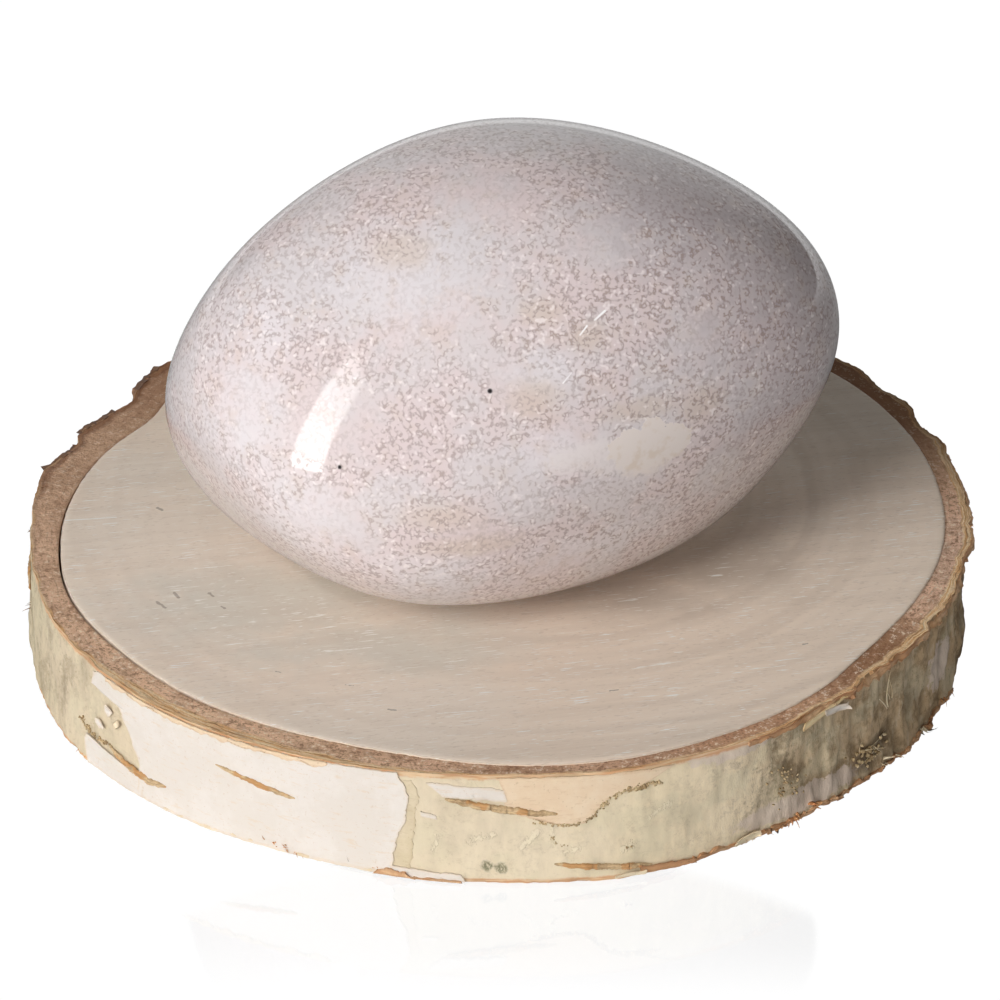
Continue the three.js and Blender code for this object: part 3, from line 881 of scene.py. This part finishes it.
# Thin sheets on the bark. Each gives its look, lift, thickness, how far its left, right,
# lower and upper edges are torn and how far they curl, and its left and right sides as lines
# of (angle, height) from the foot upwards. The last value says how closely it follows the relief.
paperSheets = {
    'cell': 0.17, 'soften': 0.35,
    'whiteSheet': ('whitePaper', 0.11, 0.07, (0.3, 0.16, 0.1, 0.1), (0.08, 0.03, 0.05, 0.03),
        [(-46.4, 0.12), (-46.3, 1.6), (-46.2, 2.9), (-47.2, 4.2), (-48.4, 5.2), (-49.6, 6.2),
        (-53.0, 6.35), (-55.2, 6.5), (-54.4, 7.2), (-53.8, 7.72)],
        [(-12.3, 0.12), (-12.1, 1.9), (-11.5, 3.1), (-10.7, 4.6), (-10.3, 5.8), (-10.7, 6.9),
        (-11.5, 7.5), (-11.6, 7.78)]),
    'lowerSheet': ('whitePaper', 0.12, 0.08, (0.22, 0.02, 0.1, 0.12), (0.12, 0.0, 0.05, 0.06),
        [(-55.6, 0.2), (-56.1, 1.0), (-56.4, 1.9), (-55.9, 2.3)],
        [(-45.6, 0.14), (-45.6, 0.8), (-45.8, 1.3), (-46.0, 1.7)]),
    'underStrip': ('palePaper', 0.04, 0.05, (0.0, 0.2, 0.05, 0.08), (0.0, 0.0, 0.0, 0.0),
        [(-14.5, 0.2), (-14.0, 4.0), (-13.0, 7.3)], [(-10.2, 0.3), (-9.9, 2.85), (-9.5, 4.75),
        (-9.3, 6.6), (-9.8, 7.3)]),
    'topStrip': ('whitePaper', 0.07, 0.05, (0.2, 0.12, 0.22, 0.12), (0.05, 0.08, 0.14, 0.02),
        [(-6.2, 6.3), (-7.4, 6.8), (-8.6, 7.3)], [(0.8, 6.05), (0.6, 6.9)]),
    'whiteChip': ('whitePaper', 0.06, 0.05, (0.12, 0.12, 0.08, 0.08), (0.05, 0.05, 0.05, 0.05),
        [(-8.9, 4.75), (-9.0, 5.1)], [(-7.0, 4.55), (-7.2, 4.95)]),
    'pinkPlate': ('pinkPaper', 0.09, 0.08, (0.08, 0.22, 0.16, 0.08), (0.0, 0.05, 0.05, 0.02),
        [(0.7, 5.35), (0.6, 6.6), (-0.2, 7.75)], [(5.6, 4.45), (9.7, 4.3), (11.2, 5.3), (13.0, 6.25),
        (17.0, 6.75), (20.5, 7.7)]),
    'footBand': ('whitePaper', 0.12, 0.08, (0.1, 0.15, 0.08, 0.14), (0.05, 0.05, 0.05, 0.05),
        [(-12.6, 0.1), (-12.4, 0.85)], [(-4.0, 0.1), (-4.3, 0.62)]),
    'flakeHigh': ('whitePaper', 0.16, 0.07, (0.16, 0.16, 0.12, 0.12), (0.1, 0.1, 0.1, 0.1),
        [(-51.9, 5.2), (-52.1, 5.45), (-51.7, 5.7)], [(-51.2, 5.0), (-50.4, 5.3), (-51.1, 5.62)]),
    'flakeLow': ('whitePaper', 0.18, 0.07, (0.14, 0.14, 0.14, 0.14), (0.12, 0.12, 0.1, 0.1),
        [(-53.8, 3.9), (-53.9, 4.1), (-53.3, 4.3)], [(-52.9, 3.6), (-52.1, 3.8), (-52.7, 4.15)]),
    'flakeRight': ('creamPaper', 0.14, 0.07, (0.14, 0.14, 0.12, 0.12), (0.1, 0.1, 0.1, 0.1),
        [(-50.1, 4.4), (-50.4, 4.7), (-49.9, 5.1)], [(-49.7, 4.5), (-49.3, 4.8), (-49.6, 5.2)]),
    'footTorn': ('orangeLayer', 0.2, 0.14, (0.14, 0.14, 0.1, 0.16), (0.1, 0.1, 0.12, 0.1),
        [(-14.6, 0.14), (-14.1, 0.34), (-13.2, 0.62)], [(-9.6, 0.1), (-10.0, 0.24), (-10.8, 0.5)]),
    'footThread': ('orangeLayer', 0.2, 0.12, (0.1, 0.1, 0.04, 0.08), (0.05, 0.05, 0.06, 0.05),
        [(-9.8, 0.08), (-9.7, 0.22)], [(-4.2, 0.05), (-4.4, 0.17)]),
    'paleSliver': ('yellowPaper', 0.22, 0.1, (0.12, 0.1, 0.12, 0.06), (0.05, 0.1, 0.1, 0.0),
        [(38.0, 6.9), (38.2, 7.35)], [(45.6, 7.62), (45.6, 7.8)]),
    'paleCurl': ('whitePaper', 0.3, 0.08, (0.1, 0.14, 0.1, 0.08), (0.0, 0.45, 0.15, 0.0),
        [(41.9, 7.1), (41.7, 7.5)], [(45.3, 6.9), (45.3, 7.35)]),
    'paleTear': ('creamPaper', 0.15, 0.08, (0.14, 0.14, 0.12, 0.12), (0.1, 0.2, 0.1, 0.1),
        [(28.2, 0.15), (28.0, 0.5)], [(31.6, 0.25), (31.4, 0.75)]),
    'redStrip': ('orangeLayer', 0.18, 0.1, (0.14, 0.14, 0.08, 0.14), (0.05, 0.1, 0.05, 0.05),
        [(15.8, 0.35), (15.9, 0.85)], [(22.9, 0.08), (22.7, 0.42)]),
    'whiteStrip': ('creamPaper', 0.22, 0.07, (0.12, 0.12, 0.08, 0.1), (0.1, 0.1, 0.05, 0.05),
        [(12.8, 0.3), (12.9, 0.5)], [(16.6, 0.25), (16.5, 0.55)]),
    'footLayerRight': ('orangeLayer', 0.1, 0.35, (0.1, 0.1, 0.1, 0.3), (0.0, 0.0, 0.06, 0.1),
        [(22.5, 0.08), (22.5, 0.3)], [(72.0, 0.08), (72.0, 0.42)], 1.0),
    'footLayerLeft': ('creamPaper', 0.1, 0.1, (0.1, 0.1, 0.06, 0.14), (0.0, 0.0, 0.05, 0.05),
        [(-44.0, 0.06), (-44.0, 0.26)], [(-14.0, 0.06), (-14.0, 0.28)], 1.0),
    'lipLayerRight': ('orangeLayer', 0.1, 0.25, (0.1, 0.1, 0.36, 0.05), (0.0, 0.0, 0.1, 0.02),
        [(30.0, 7.5), (30.0, 7.8)], [(112.0, 7.3), (112.0, 7.82)], 1.0),
    'lipLayerLeft': ('pinkPaper', 0.16, 0.08, (0.1, 0.1, 0.3, 0.05), (0.0, 0.0, 0.08, 0.0),
        [(-52.0, 7.55), (-52.0, 7.78)], [(-20.0, 7.45), (-20.0, 7.8)]),
    'backSheet': ('palePaper', 0.1, 0.07, (0.5, 0.5, 0.3, 0.3), (0.12, 0.12, 0.06, 0.06),
        [(131.0, 0.4), (133.5, 1.4), (129.0, 2.6), (132.5, 3.6), (128.0, 4.6), (126.5, 5.6),
        (131.0, 6.5), (127.0, 7.5)], [(152.0, 0.3), (160.0, 1.2), (158.0, 2.3), (164.0, 3.5),
        (156.0, 4.7), (161.5, 5.8), (155.0, 6.9), (146.0, 7.7)], 1.0),
    'backStrip': ('palePaper', 0.1, 0.07, (0.5, 0.5, 0.3, 0.3), (0.12, 0.12, 0.08, 0.08),
        [(-174.0, 4.7), (-176.5, 5.1), (-171.0, 5.5), (-163.0, 6.0)],
        [(-164.0, 3.3), (-152.5, 3.7), (-149.0, 4.3), (-158.0, 5.6)], 1.0),
    'rimFlakeA': ('darkFlake', 0.3, 0.5, (0.16, 0.16, 0.2, 0.06), (0.1, 0.2, 0.05, 0.05),
        [(-119.0, 6.6), (-118.0, 7.84)], [(-112.5, 6.9), (-111.0, 7.84)], 1.0),
    'rimFlakeB': ('darkFlake', 0.22, 0.5, (0.16, 0.16, 0.2, 0.06), (0.1, 0.25, 0.05, 0.05),
        [(-108.5, 6.3), (-108.0, 7.84)], [(-103.0, 6.9), (-102.0, 7.84)], 1.0),
    'rimFlakeC': ('darkFlake', 0.25, 0.5, (0.16, 0.16, 0.2, 0.06), (0.15, 0.2, 0.05, 0.05),
        [(-131.0, 5.6), (-130.0, 7.86)], [(-123.5, 6.6), (-124.0, 7.86)], 1.0),
    'sideFlake': ('palePaper', 0.1, 0.07, (0.4, 0.4, 0.25, 0.25), (0.12, 0.12, 0.08, 0.08),
        [(99.0, 1.0), (95.5, 1.9), (97.0, 3.0), (94.0, 3.9), (97.5, 4.8)],
        [(104.0, 0.9), (107.5, 1.7), (104.5, 2.5), (106.5, 3.4), (101.0, 4.6)], 1.0)}


def alongLine(line, share):
    place = np.clip(share, 0, 1) * (len(line) - 1)
    steps = np.arange(len(line))
    return [np.interp(place, steps, part) for part in zip(*line)]


def onBark(angle, height, lift, hug=0.0):
    radius = skinRadius(angle, height) + lift
    if hug:
        radius = radius + reliefAt(angle, height) * hug
    return aroundSlice(angle, radius, height)


# how low and how high the middle and the skin of a sheet may go
sheetLimits = {'line': (0.05, 7.88), 'skin': (0.01, 7.95)}


def makeSheet(name, number, look, lift, thick, torn, curl, left, right, hug=0.0):
    tall = max(side[-1][1] - side[0][1] for side in (left, right))
    wide = max(abs(r[0] - l[0]) for l in left for r in right) * mmPerDegree
    columns = int(np.clip(wide / paperSheets['cell'], 8, 260))
    rows = int(np.clip(tall / paperSheets['cell'], 5, 60))
    bpy.ops.object.select_all(action='DESELECT')
    bpy.ops.mesh.primitive_grid_add(x_subdivisions=columns, y_subdivisions=rows, size=1)
    sheet = newPiece(name)
    flat = readPoints(sheet)
    across, up = flat[:, 0] + 0.5, flat[:, 1] + 0.5
    leftAngle, leftHeight = alongLine(left, up)
    rightAngle, rightHeight = alongLine(right, up)
    angle = leftAngle + (rightAngle - leftAngle) * across
    height = leftHeight + (rightHeight - leftHeight) * across
    width = np.abs(rightAngle - leftAngle) * mmPerDegree
    gaps = [across * width, (1 - across) * width, up * tall, (1 - up) * tall]
    seeds = np.array([[relief(a * 0.8, h * 1.9, number * 3.7 + k, 0.6, 2.2, 4) for k in range(4)]
                      for a, h in zip(angle, height)])
    fade = [np.exp(-g / paperSheets['soften']) for g in gaps]
    angle += (seeds[:, 0] * fade[0] * torn[0] + seeds[:, 1] * fade[1] * torn[1]) / mmPerDegree
    height = height + seeds[:, 2] * fade[2] * torn[2] + seeds[:, 3] * fade[3] * torn[3]
    lift += sum(c * f * (0.5 + s) for c, f, s in zip(curl, fade, seeds.T))
    height = np.clip(height, *sheetLimits['line'])
    writePoints(sheet, onBark(angle, height, np.maximum(lift, 0.03), hug))
    paintValues(sheet, 'fromEdge', np.minimum.reduce(gaps))
    applyModifier(sheet, 'SOLIDIFY', thickness=thick * mm, offset=-1)
    solid = readPoints(sheet)
    solid[:, 2] = np.clip(solid[:, 2], *(limit * mm for limit in sheetLimits['skin']))
    writePoints(sheet, solid)
    bpy.ops.object.mode_set(mode='EDIT')
    bpy.ops.mesh.select_all(action='SELECT')
    bpy.ops.mesh.normals_make_consistent(inside=False)
    bpy.ops.object.mode_set(mode='OBJECT')
    bpy.ops.object.shade_smooth_by_angle(angle=math.radians(45))
    sheet.data.materials.append(paperLooks[look])
    return sheet


def paperMaterial(name, ground, second, edge, speck):
    made, skin, place = startMaterial(name)
    broad = placeGroup(mottle, place=place, broad=0.25, fine=1.6, mix=0.35)
    colour = blend(remap(broad, 0.42, 0.62), shade(*ground), shade(*second))
    fibres = cloud(stretch(place, (1, 1, 5)), 0.9, 4.0, 0.7)
    colour = tint(colour, edge, remap(fibres, 0.56, 0.68), 0.35)
    colour = tint(colour, speck, remap(cloud(place, 5.0, 2.0, 0.6), 0.64, 0.70), 0.35)
    nearEdge = plus(painted('fromEdge'), times(minus(fibres, 0.5), 0.5))
    colour = tint(colour, edge, remap(nearEdge, 0.2, 0.0, 0.0, 0.35))
    dress(skin, colour, broad, 0.5, 0.68)
    skin.inputs['Specular IOR Level'].default_value = 0.4
    emboss(skin, times(fibres, 0.05), 0.35)
    return made


# Ground, second colour, edges and specks of each kind of paper
paperLooks = {
    'whitePaper': ((219, 210, 200), (224, 216, 208), (217, 190, 154), (200, 175, 147)),
    'creamPaper': ((227, 212, 182), (233, 220, 195), (205, 175, 135), (174, 152, 114)),
    'pinkPaper': ((225, 200, 169), (229, 208, 180), (198, 164, 124), (182, 154, 116)),
    'palePaper': ((208, 192, 161), (215, 200, 172), (192, 170, 136), (170, 145, 108)),
    'yellowPaper': ((238, 212, 160), (244, 226, 184), (206, 156, 100), (180, 138, 90)),
    'darkFlake': ((120, 86, 64), (150, 114, 86), (84, 60, 46), (70, 66, 52)),
    'orangeLayer': ((196, 148, 106), (222, 186, 146), (142, 98, 68), (118, 84, 60))}
for name, colours in paperLooks.items():
    paperLooks[name] = paperMaterial(name, *colours)

barkSheets = []
for number, (name, plan) in enumerate(paperSheets.items()):
    if isinstance(plan, tuple):
        barkSheets.append(makeSheet(name, number, *plan))
print('sheets', len(barkSheets))

# Lenticels: raised corky lines across the bark. Each gives its half width, rise and lift,
# its line of (angle, height), and the places where it is broken.
lenticels = {
    'lenticelLow': (0.27, 0.16, 0.12, [(-51.0, 2.55), (-47.9, 2.02), (-44.5, 1.75), (-41.7, 2.0)], []),
    'lenticelHigh': (0.2, 0.13, 0.12, [(-34.3, 5.4), (-31.0, 5.1), (-27.3, 4.75), (-24.0, 4.5)], []),
    'lenticelMiddle': (0.27, 0.16, 0.1, [(-6.2, 6.15), (-3.3, 5.85), (0.1, 5.5), (3.5, 5.22),
        (6.6, 5.1)], [0.42, 0.56, 0.74]),
    'lenticelFoot': (0.22, 0.15, 0.06, [(6.2, 1.45), (10.2, 1.15), (14.6, 0.9), (17.4, 0.75)],
        [0.36, 0.68]),
    'lenticelBack': (0.24, 0.15, 0.24, [(134.0, 4.8), (140.0, 4.6), (147.0, 4.7)], [0.5]),
    'lenticelRear': (0.22, 0.2, 0.1, [(172.0, 2.2), (179.0, 2.0), (187.0, 2.1)], [0.4]),
    'lenticelSide': (0.2, 0.18, 0.05, [(-96.0, 4.2), (-90.0, 4.0), (-84.0, 4.1)], [])}


def makeLenticel(name, number, half, rise, lift, line, breaks):
    bpy.ops.object.select_all(action='DESELECT')
    bpy.ops.mesh.primitive_grid_add(x_subdivisions=90, y_subdivisions=12, size=1)
    lens = newPiece(name)
    flat = readPoints(lens)
    share, side = flat[:, 0] + 0.5, flat[:, 1] * 2
    angle, height = alongLine(line, share)
    taper = np.sin(np.pi * np.clip(share, 0.004, 0.996)) ** 0.36
    wear = np.array([relief(a * 1.2, s * 0.8, number * 5.1, 0.6, 2.2, 4) for a, s in zip(angle, side)])
    crack = np.ones(len(share))
    for place in breaks:
        crack *= 1 - 0.85 * np.exp(-((share - place) / 0.006) ** 2)
    half = half * taper * (1 + 0.5 * wear)
    groove = 1 - 0.3 * np.exp(-((side - 0.3 * wear) / 0.16) ** 2) * taper
    rise = rise * taper * (1 - side ** 4) * groove * crack * (1 + 0.5 * wear)
    writePoints(lens, onBark(angle, height + side * half, lift + rise))
    paintValues(lens, 'inCrack', np.clip(1 - groove * crack + 0.25 * np.abs(side) ** 4, 0, 1))
    applyModifier(lens, 'SOLIDIFY', thickness=0.1 * mm, offset=-1)
    bpy.ops.object.shade_smooth_by_angle(angle=math.radians(60))
    return lens


lenticelCork, skin, place = startMaterial('lenticelCork')
grains = placeGroup(mottle, place=stretch(place, (0.6, 0.6, 1.5)), broad=1.2, fine=5.0, mix=0.5)
colour = blend(remap(grains, 0.4, 0.6), shade(168, 140, 104), shade(214, 186, 146))
colour = tint(colour, (196, 142, 86), remap(cloud(place, 0.7, 2.0), 0.48, 0.56), 0.75)
colour = tint(colour, (118, 92, 64), painted('inCrack'), 0.9)
dress(skin, colour, grains, 0.7, 0.9)
emboss(skin, times(grains, 0.08), 0.7)
for number, (name, plan) in enumerate(lenticels.items()):
    lens = makeLenticel(name, number, *plan)
    lens.data.materials.append(lenticelCork)
    barkSheets.append(lens)
print('lenticels finished')

# Crumbs of cork: one lump copied along the broken edges. Each row gives a line of
# (angle, height), then the number, the spread and the size.
crumbs = {
    'between': (0.2, 7.6),
    'rows': [([(4.0, 4.45), (8.0, 4.2), (10.2, 4.55), (11.4, 5.35), (13.2, 6.2), (16.0, 6.6),
        (18.8, 6.6)], 170, 0.13, 0.11),
        ([(-57.4, 2.95), (-54.6, 2.5), (-51.0, 2.55)], 46, 0.2, 0.12),
        ([(14.0, 6.5), (16.5, 6.45), (18.5, 6.6)], 30, 0.14, 0.16),
        ([(14.3, 2.3), (14.8, 2.15), (15.2, 2.25)], 7, 0.08, 0.09),
        ([(6.0, 3.5), (6.2, 2.9), (8.8, 2.5)], 12, 0.1, 0.08),
        ([(48.0, 2.6), (50.0, 1.6), (52.0, 2.4)], 40, 0.5, 0.17),
        ([(34.5, 5.0), (36.5, 3.4), (35.0, 2.0)], 40, 0.7, 0.12),
        ([(-100.0, 7.2), (-118.0, 6.8), (-132.0, 7.3)], 60, 0.5, 0.2),
        ([(112.0, 5.0), (124.0, 4.0)], 40, 1.2, 0.16)],
    'tones': [(0.36, (128, 104, 72)), (0.46, (170, 144, 106)), (0.56, (206, 182, 142)),
        (0.66, (230, 212, 178))]}
bpy.ops.object.select_all(action='DESELECT')
bpy.ops.mesh.primitive_ico_sphere_add(subdivisions=2, radius=1 * mm)
lump = newPiece('lump')
rough = readPoints(lump)
rough *= np.array([1 + 0.45 * noise.noise(Vector(p) / mm * 1.6) for p in rough])[:, None]
writePoints(lump, rough)
scattered = []
for line, count, spread, size in crumbs['rows']:
    for i in range(count):
        angle, height = alongLine(line, np.array([random.random()]))
        angle += random.gauss(0, spread) / mmPerDegree
        height = np.clip(height + random.gauss(0, spread * 0.6), *crumbs['between'])
        crumb = copyPiece(lump)
        crumb.location = Vector(onBark(angle, height, np.array([0.05]))[0])
        crumb.rotation_euler = [random.uniform(0, 6.28) for _ in range(3)]
        crumb.scale = [size * random.uniform(0.35, 1.0) for _ in range(3)]
        scattered.append(crumb)
activate(*scattered)
bpy.ops.object.join()
barkCrumbs = newPiece('barkCrumbs')
bpy.data.objects.remove(lump)
bpy.ops.object.shade_smooth()
crumbCork, skin, place = startMaterial('crumbCork')
grains = placeGroup(mottle, place=place, broad=1.4, fine=4.0, mix=0.4)
colour = tones(grains, [(at, shade(*colour)) for at, colour in crumbs['tones']])
dress(skin, colour, grains, 0.75, 0.92)
barkCrumbs.data.materials.append(crumbCork)
barkSheets.append(barkCrumbs)
print('crumbs', len(scattered))

# Torn fibres at the edges: one strand, bent a different way each time. Each tuft gives its
# angle, height, spread, number, length, thickness, lean outwards, lean downwards and look.
fibres = {
    'lowest': 0.03, 'highest': 7.98,
    'tufts': [(-25.8, 0.5, 0.5, 9, 0.9, 0.09, 0.6, -0.2, 'orange'),
        (-24.8, 0.25, 0.4, 3, 0.6, 0.08, 0.8, 0.2, 'orange'),
        (-17.0, 0.2, 0.15, 3, 0.8, 0.03, 0.2, -0.8, 'dark'),
        (-13.4, 0.4, 0.4, 4, 0.4, 0.12, 0.6, 0.0, 'orange'),
        (-57.0, 0.3, 0.6, 3, 0.5, 0.08, 0.6, 0.1, 'orange'),
        (-84.0, 3.0, 0.5, 3, 0.6, 0.04, 0.7, 0.2, 'dark'),
        (31.0, 0.4, 0.6, 4, 0.5, 0.1, 0.8, 0.0, 'pale'),
        (34.5, 0.3, 0.4, 6, 0.8, 0.22, 0.6, 0.5, 'orange'),
        (37.0, 0.35, 0.3, 4, 0.8, 0.2, 0.7, 0.4, 'orange'),
        (40.0, 0.6, 0.5, 5, 0.7, 0.2, 0.8, -0.1, 'orange'),
        (52.5, 0.45, 0.5, 5, 0.8, 0.14, 0.8, 0.2, 'pale'),
        (62.0, 0.35, 0.3, 5, 1.2, 0.1, 0.5, 0.4, 'pale'),
        (50.0, 2.2, 0.7, 6, 1.5, 0.08, 0.08, -0.1, 'pale'),
        (54.0, 4.6, 0.5, 4, 2.6, 0.09, 0.04, -1.0, 'pale'),
        (69.0, 0.8, 0.8, 4, 0.7, 0.14, 0.7, 0.2, 'orange'),
        (84.0, 7.6, 1.2, 4, 0.5, 0.14, 0.8, -0.2, 'orange'),
        (-90.0, 6.6, 0.4, 4, 0.4, 0.14, 0.9, 0.1, 'dark'),
        (108.0, 0.5, 1.5, 7, 0.6, 0.1, 0.8, 0.2, 'orange'),
        (150.0, 0.4, 2.5, 8, 0.6, 0.1, 0.8, 0.2, 'orange'),
        (-150.0, 0.4, 3.0, 8, 0.6, 0.1, 0.8, 0.2, 'pale'),
        (-115.0, 0.5, 2.0, 7, 0.6, 0.1, 0.8, 0.2, 'orange')],
    'colours': {'orange': ((182, 118, 72), (222, 172, 120)), 'pale': ((212, 190, 150), (234, 220, 190)),
        'dark': ((96, 74, 56), (140, 110, 84))}}
strandGroups = {key: [] for key in fibres['colours']}
bpy.ops.object.select_all(action='DESELECT')
bpy.ops.mesh.primitive_cone_add(vertices=5, radius1=1, radius2=0.15, depth=1, location=(0, 0, 0.5))
strand = newPiece('strand')
bpy.ops.object.mode_set(mode='EDIT')
pick(strand, 'EDGE', lambda e: abs(e.verts[0].co.z - e.verts[1].co.z) > 0.5)
bpy.ops.mesh.subdivide(number_cuts=7)
bpy.ops.object.mode_set(mode='OBJECT')
straight = readPoints(strand)
for angle0, height0, spread, count, long, thick, outBy, downBy, kind in fibres['tufts']:
    for i in range(count):
        angle = angle0 + random.gauss(0, spread) / mmPerDegree
        height = max(0.12, height0 + random.gauss(0, spread * 0.35))
        turn = math.radians(angle)
        outward = Vector((math.sin(turn), -math.cos(turn), 0))
        around = Vector((math.cos(turn), math.sin(turn), 0))
        root = Vector(onBark(np.array([angle]), np.array([height]), np.array([0.0]))[0]) / mm
        way = (outward * outBy * random.uniform(0.5, 1.3) + around * random.gauss(0, 0.35)
               + Vector((0, 0, -downBy + random.gauss(0, 0.3)))).normalized()
        hook = (around * random.gauss(0, 0.5) + Vector((0, 0, random.gauss(0, 0.4)))
                + outward * random.uniform(-0.5, 0.1))
        size = long * random.uniform(0.45, 1.2)
        girth = thick * random.uniform(0.5, 1.2)
        flatWay = way.cross(hook).normalized() if way.cross(hook).length > 0.01 else around
        thinWay = way.cross(flatWay).normalized()
        bentPoints = []
        for x, y, z in straight:
            path = root + way * size * z + hook * size * 0.5 * z * z
            point = path + flatWay * x * girth + thinWay * y * girth * 0.45
            point.z = min(max(point.z, fibres['lowest']), fibres['highest'])
            bentPoints.append(point * mm)
        copied = copyPiece(strand)
        writePoints(copied, np.array(bentPoints))
        strandGroups[kind].append(copied)
bpy.data.objects.remove(strand)
for kind, strands in strandGroups.items():
    activate(*strands)
    bpy.ops.object.join()
    bundle = newPiece('tornFibres' + kind.capitalize())
    bpy.ops.object.shade_smooth()
    made, skin, place = startMaterial('fibre' + kind.capitalize())
    deep, light = fibres['colours'][kind]
    grains = placeGroup(mottle, place=place, broad=0.8, fine=4.0, mix=0.5)
    dress(skin, blend(remap(grains, 0.4, 0.6), shade(*deep), shade(*light)), grains, 0.6, 0.8)
    bundle.data.materials.append(made)
    barkSheets.append(bundle)
print('fibres finished')

for piece in barkSheets:
    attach(piece, 'root')

for piece, node, slotName in ((birchBark, 'birch_slice', 'birch_bark'),
                              (birchWood, 'birch_slice', 'birch_wood'),
                              (jasperStone, 'jasper_stone', 'jasper')):
    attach(piece, 'root')
    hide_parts(node)

# Floor, camera and lights. The edges and fades on the floor are in metres.
studio = {
    'camera': (0.044, -0.048, 9.2), 'away': 380, 'above': 31, 'lens': 200.5,
    'keyAim': (-10, -16, 25), 'keyAway': 600, 'keyGlow': 15, 'keyShine': 8,
    'keyColour': (1.0, 0.985, 0.97, 1),
    'keyCorners': [(-52, -3.5), (-37.6, 4.6), (-31.6, 34), (-36.6, 39.4)],
    'panelAim': (0, -4, 20), 'panelAway': 700, 'panelSize': 300, 'mirror': 0.13,
    'mirrorCurve': 19, 'mirrorEdge': (-0.0271, -0.0296), 'mirrorFade': (-0.047, -0.0375),
    'backFade': (0.03, 0.3), 'skyFade': (0.66, 0.985, 0.06, 0.9), 'skyFill': 0.02, 'sensor': 36,
    'panels': {'upperLeft': (-35, 40, 1.95), 'lowLeft': (-60, 20, 1.2), 'lowFront': (0, 7, 1.22),
        'lowRight': (42, 5, 0.32), 'overhead': (0, 90, 0.16), 'rear': (150, 12, 0.85)}}


def towards(turn, above):
    turn, above = math.radians(turn), math.radians(above)
    return Vector((math.sin(turn) * math.cos(above), -math.cos(turn) * math.cos(above),
                   math.sin(above)))


def glowMaterial(name, colour, strength):
    global tree
    made = bpy.data.materials.new(name)
    made.use_nodes = True
    tree = made.node_tree
    tree.nodes.clear()
    glow = addNode('Emission', {}, {0: colour, 1: strength})
    plug(addNode('OutputMaterial').inputs[0], glow.outputs[0])
    return made


bpy.ops.object.select_all(action='DESELECT')
bpy.ops.mesh.primitive_plane_add(size=4, location=(0, 0, 0))
floor = newPiece('floor')
floorWhite = glowMaterial('floorWhite', (1, 1, 1, 1), 1.02)
sheen = addNode('BsdfGlossy', {}, {0: (1, 1, 1, 1), 'Roughness': 0.05})
sideways, forwards, _ = split(addNode('NewGeometry').outputs['Position'])
front = plus(forwards, times(calc('POWER', sideways, 2), studio['mirrorCurve']))
mirror = times(remap(front, *studio['mirrorEdge'], 0.0, studio['mirror']),
               remap(forwards, *studio['mirrorFade']))
glow = tree.nodes['Emission'].outputs[0]
seen = addNode('MixShader', {}, {0: mirror, 1: glow, 2: sheen.outputs[0]})
bounce = addNode('BsdfDiffuse', {}, {0: (0.7, 0.7, 0.7, 1)})
rays = addNode('LightPath').outputs
farBack = times(remap(forwards, *studio['backFade']), rays['Is Glossy Ray'])
lit = addNode('MixShader', {}, {0: farBack, 1: bounce.outputs[0], 2: glow})
mixed = addNode('MixShader', {}, {0: rays['Is Camera Ray'], 1: lit.outputs[0], 2: seen.outputs[0]})
plug(tree.nodes['Material Output'].inputs[0], mixed.outputs[0])
floor.data.materials.append(floorWhite)

bpy.ops.object.select_all(action='DESELECT')
bpy.ops.mesh.primitive_plane_add(size=1, location=(0, 0, 0))
keyCard = newPiece('keyCard')
aim = Vector(studio['keyAim']) * mm
corners = [aim + towards(*c) * studio['keyAway'] * mm for c in studio['keyCorners']]
for index, corner in zip(keyCard.data.polygons[0].vertices, corners):
    keyCard.data.vertices[index].co = corner
keyGlow = glowMaterial('keyGlow', studio['keyColour'], studio['keyGlow'])
glow = tree.nodes['Emission'].inputs
sideways, upwards, _ = split(addNode('TexCoord').outputs['UV'])
sideways = times(remap(sideways, 0.0, 0.14), remap(sideways, 1.0, 0.93))
upwards = times(remap(upwards, 0.0, 0.05), remap(upwards, 1.0, 0.6, 0.5, 1.0))
plug(glow[0], blend(times(sideways, upwards), (0, 0, 0, 1), studio['keyColour']))
plug(glow[1], mixValues(addNode('LightPath').outputs['Is Glossy Ray'], studio['keyGlow'],
                        studio['keyShine']))
keyCard.data.materials.append(keyGlow)

for name, (turn, above, power) in studio['panels'].items():
    back = towards(turn, above)
    centre = Vector(studio['panelAim']) * mm
    bpy.ops.object.light_add(type='AREA', location=centre + back * studio['panelAway'] * mm)
    lamp = bpy.context.object
    lamp.name = name
    lamp.rotation_euler = (-back).to_track_quat('-Z', 'Y').to_euler()
    lamp.data.shape = 'RECTANGLE'
    lamp.data.size = lamp.data.size_y = studio['panelSize'] * mm
    lamp.data.energy = power
    lamp.visible_glossy = False  # it lights the piece but leaves no second highlight on it
world = bpy.data.worlds.new('studio')
bpy.context.scene.world = world
world.use_nodes = True
tree = world.node_tree
sky = tree.nodes['Background']
sky.inputs[0].default_value = (1, 1, 1, 1)
ahead = measure('DOT_PRODUCT', addNode('TexCoord').outputs['Generated'],
                tuple(-towards(0, -studio['above'])))
whiteRound = remap(ahead, *studio['skyFade'])
plug(sky.inputs[1], mixValues(addNode('LightPath').outputs['Is Glossy Ray'],
                              studio['skyFill'], whiteRound))
bpy.context.scene.view_settings.view_transform = 'Standard'

lean = math.radians(studio['above'])
sight = Vector((0, -math.cos(lean), math.sin(lean))) * studio['away'] * mm
bpy.ops.object.camera_add(location=Vector(studio['camera']) * mm + sight,
                          rotation=(math.pi / 2 - lean, 0, 0))
camera = bpy.context.object
camera.data.lens = studio['lens']
camera.data.sensor_width = studio['sensor']
camera.data.clip_start = 0.01
bpy.context.scene.camera = camera

print('scene done')
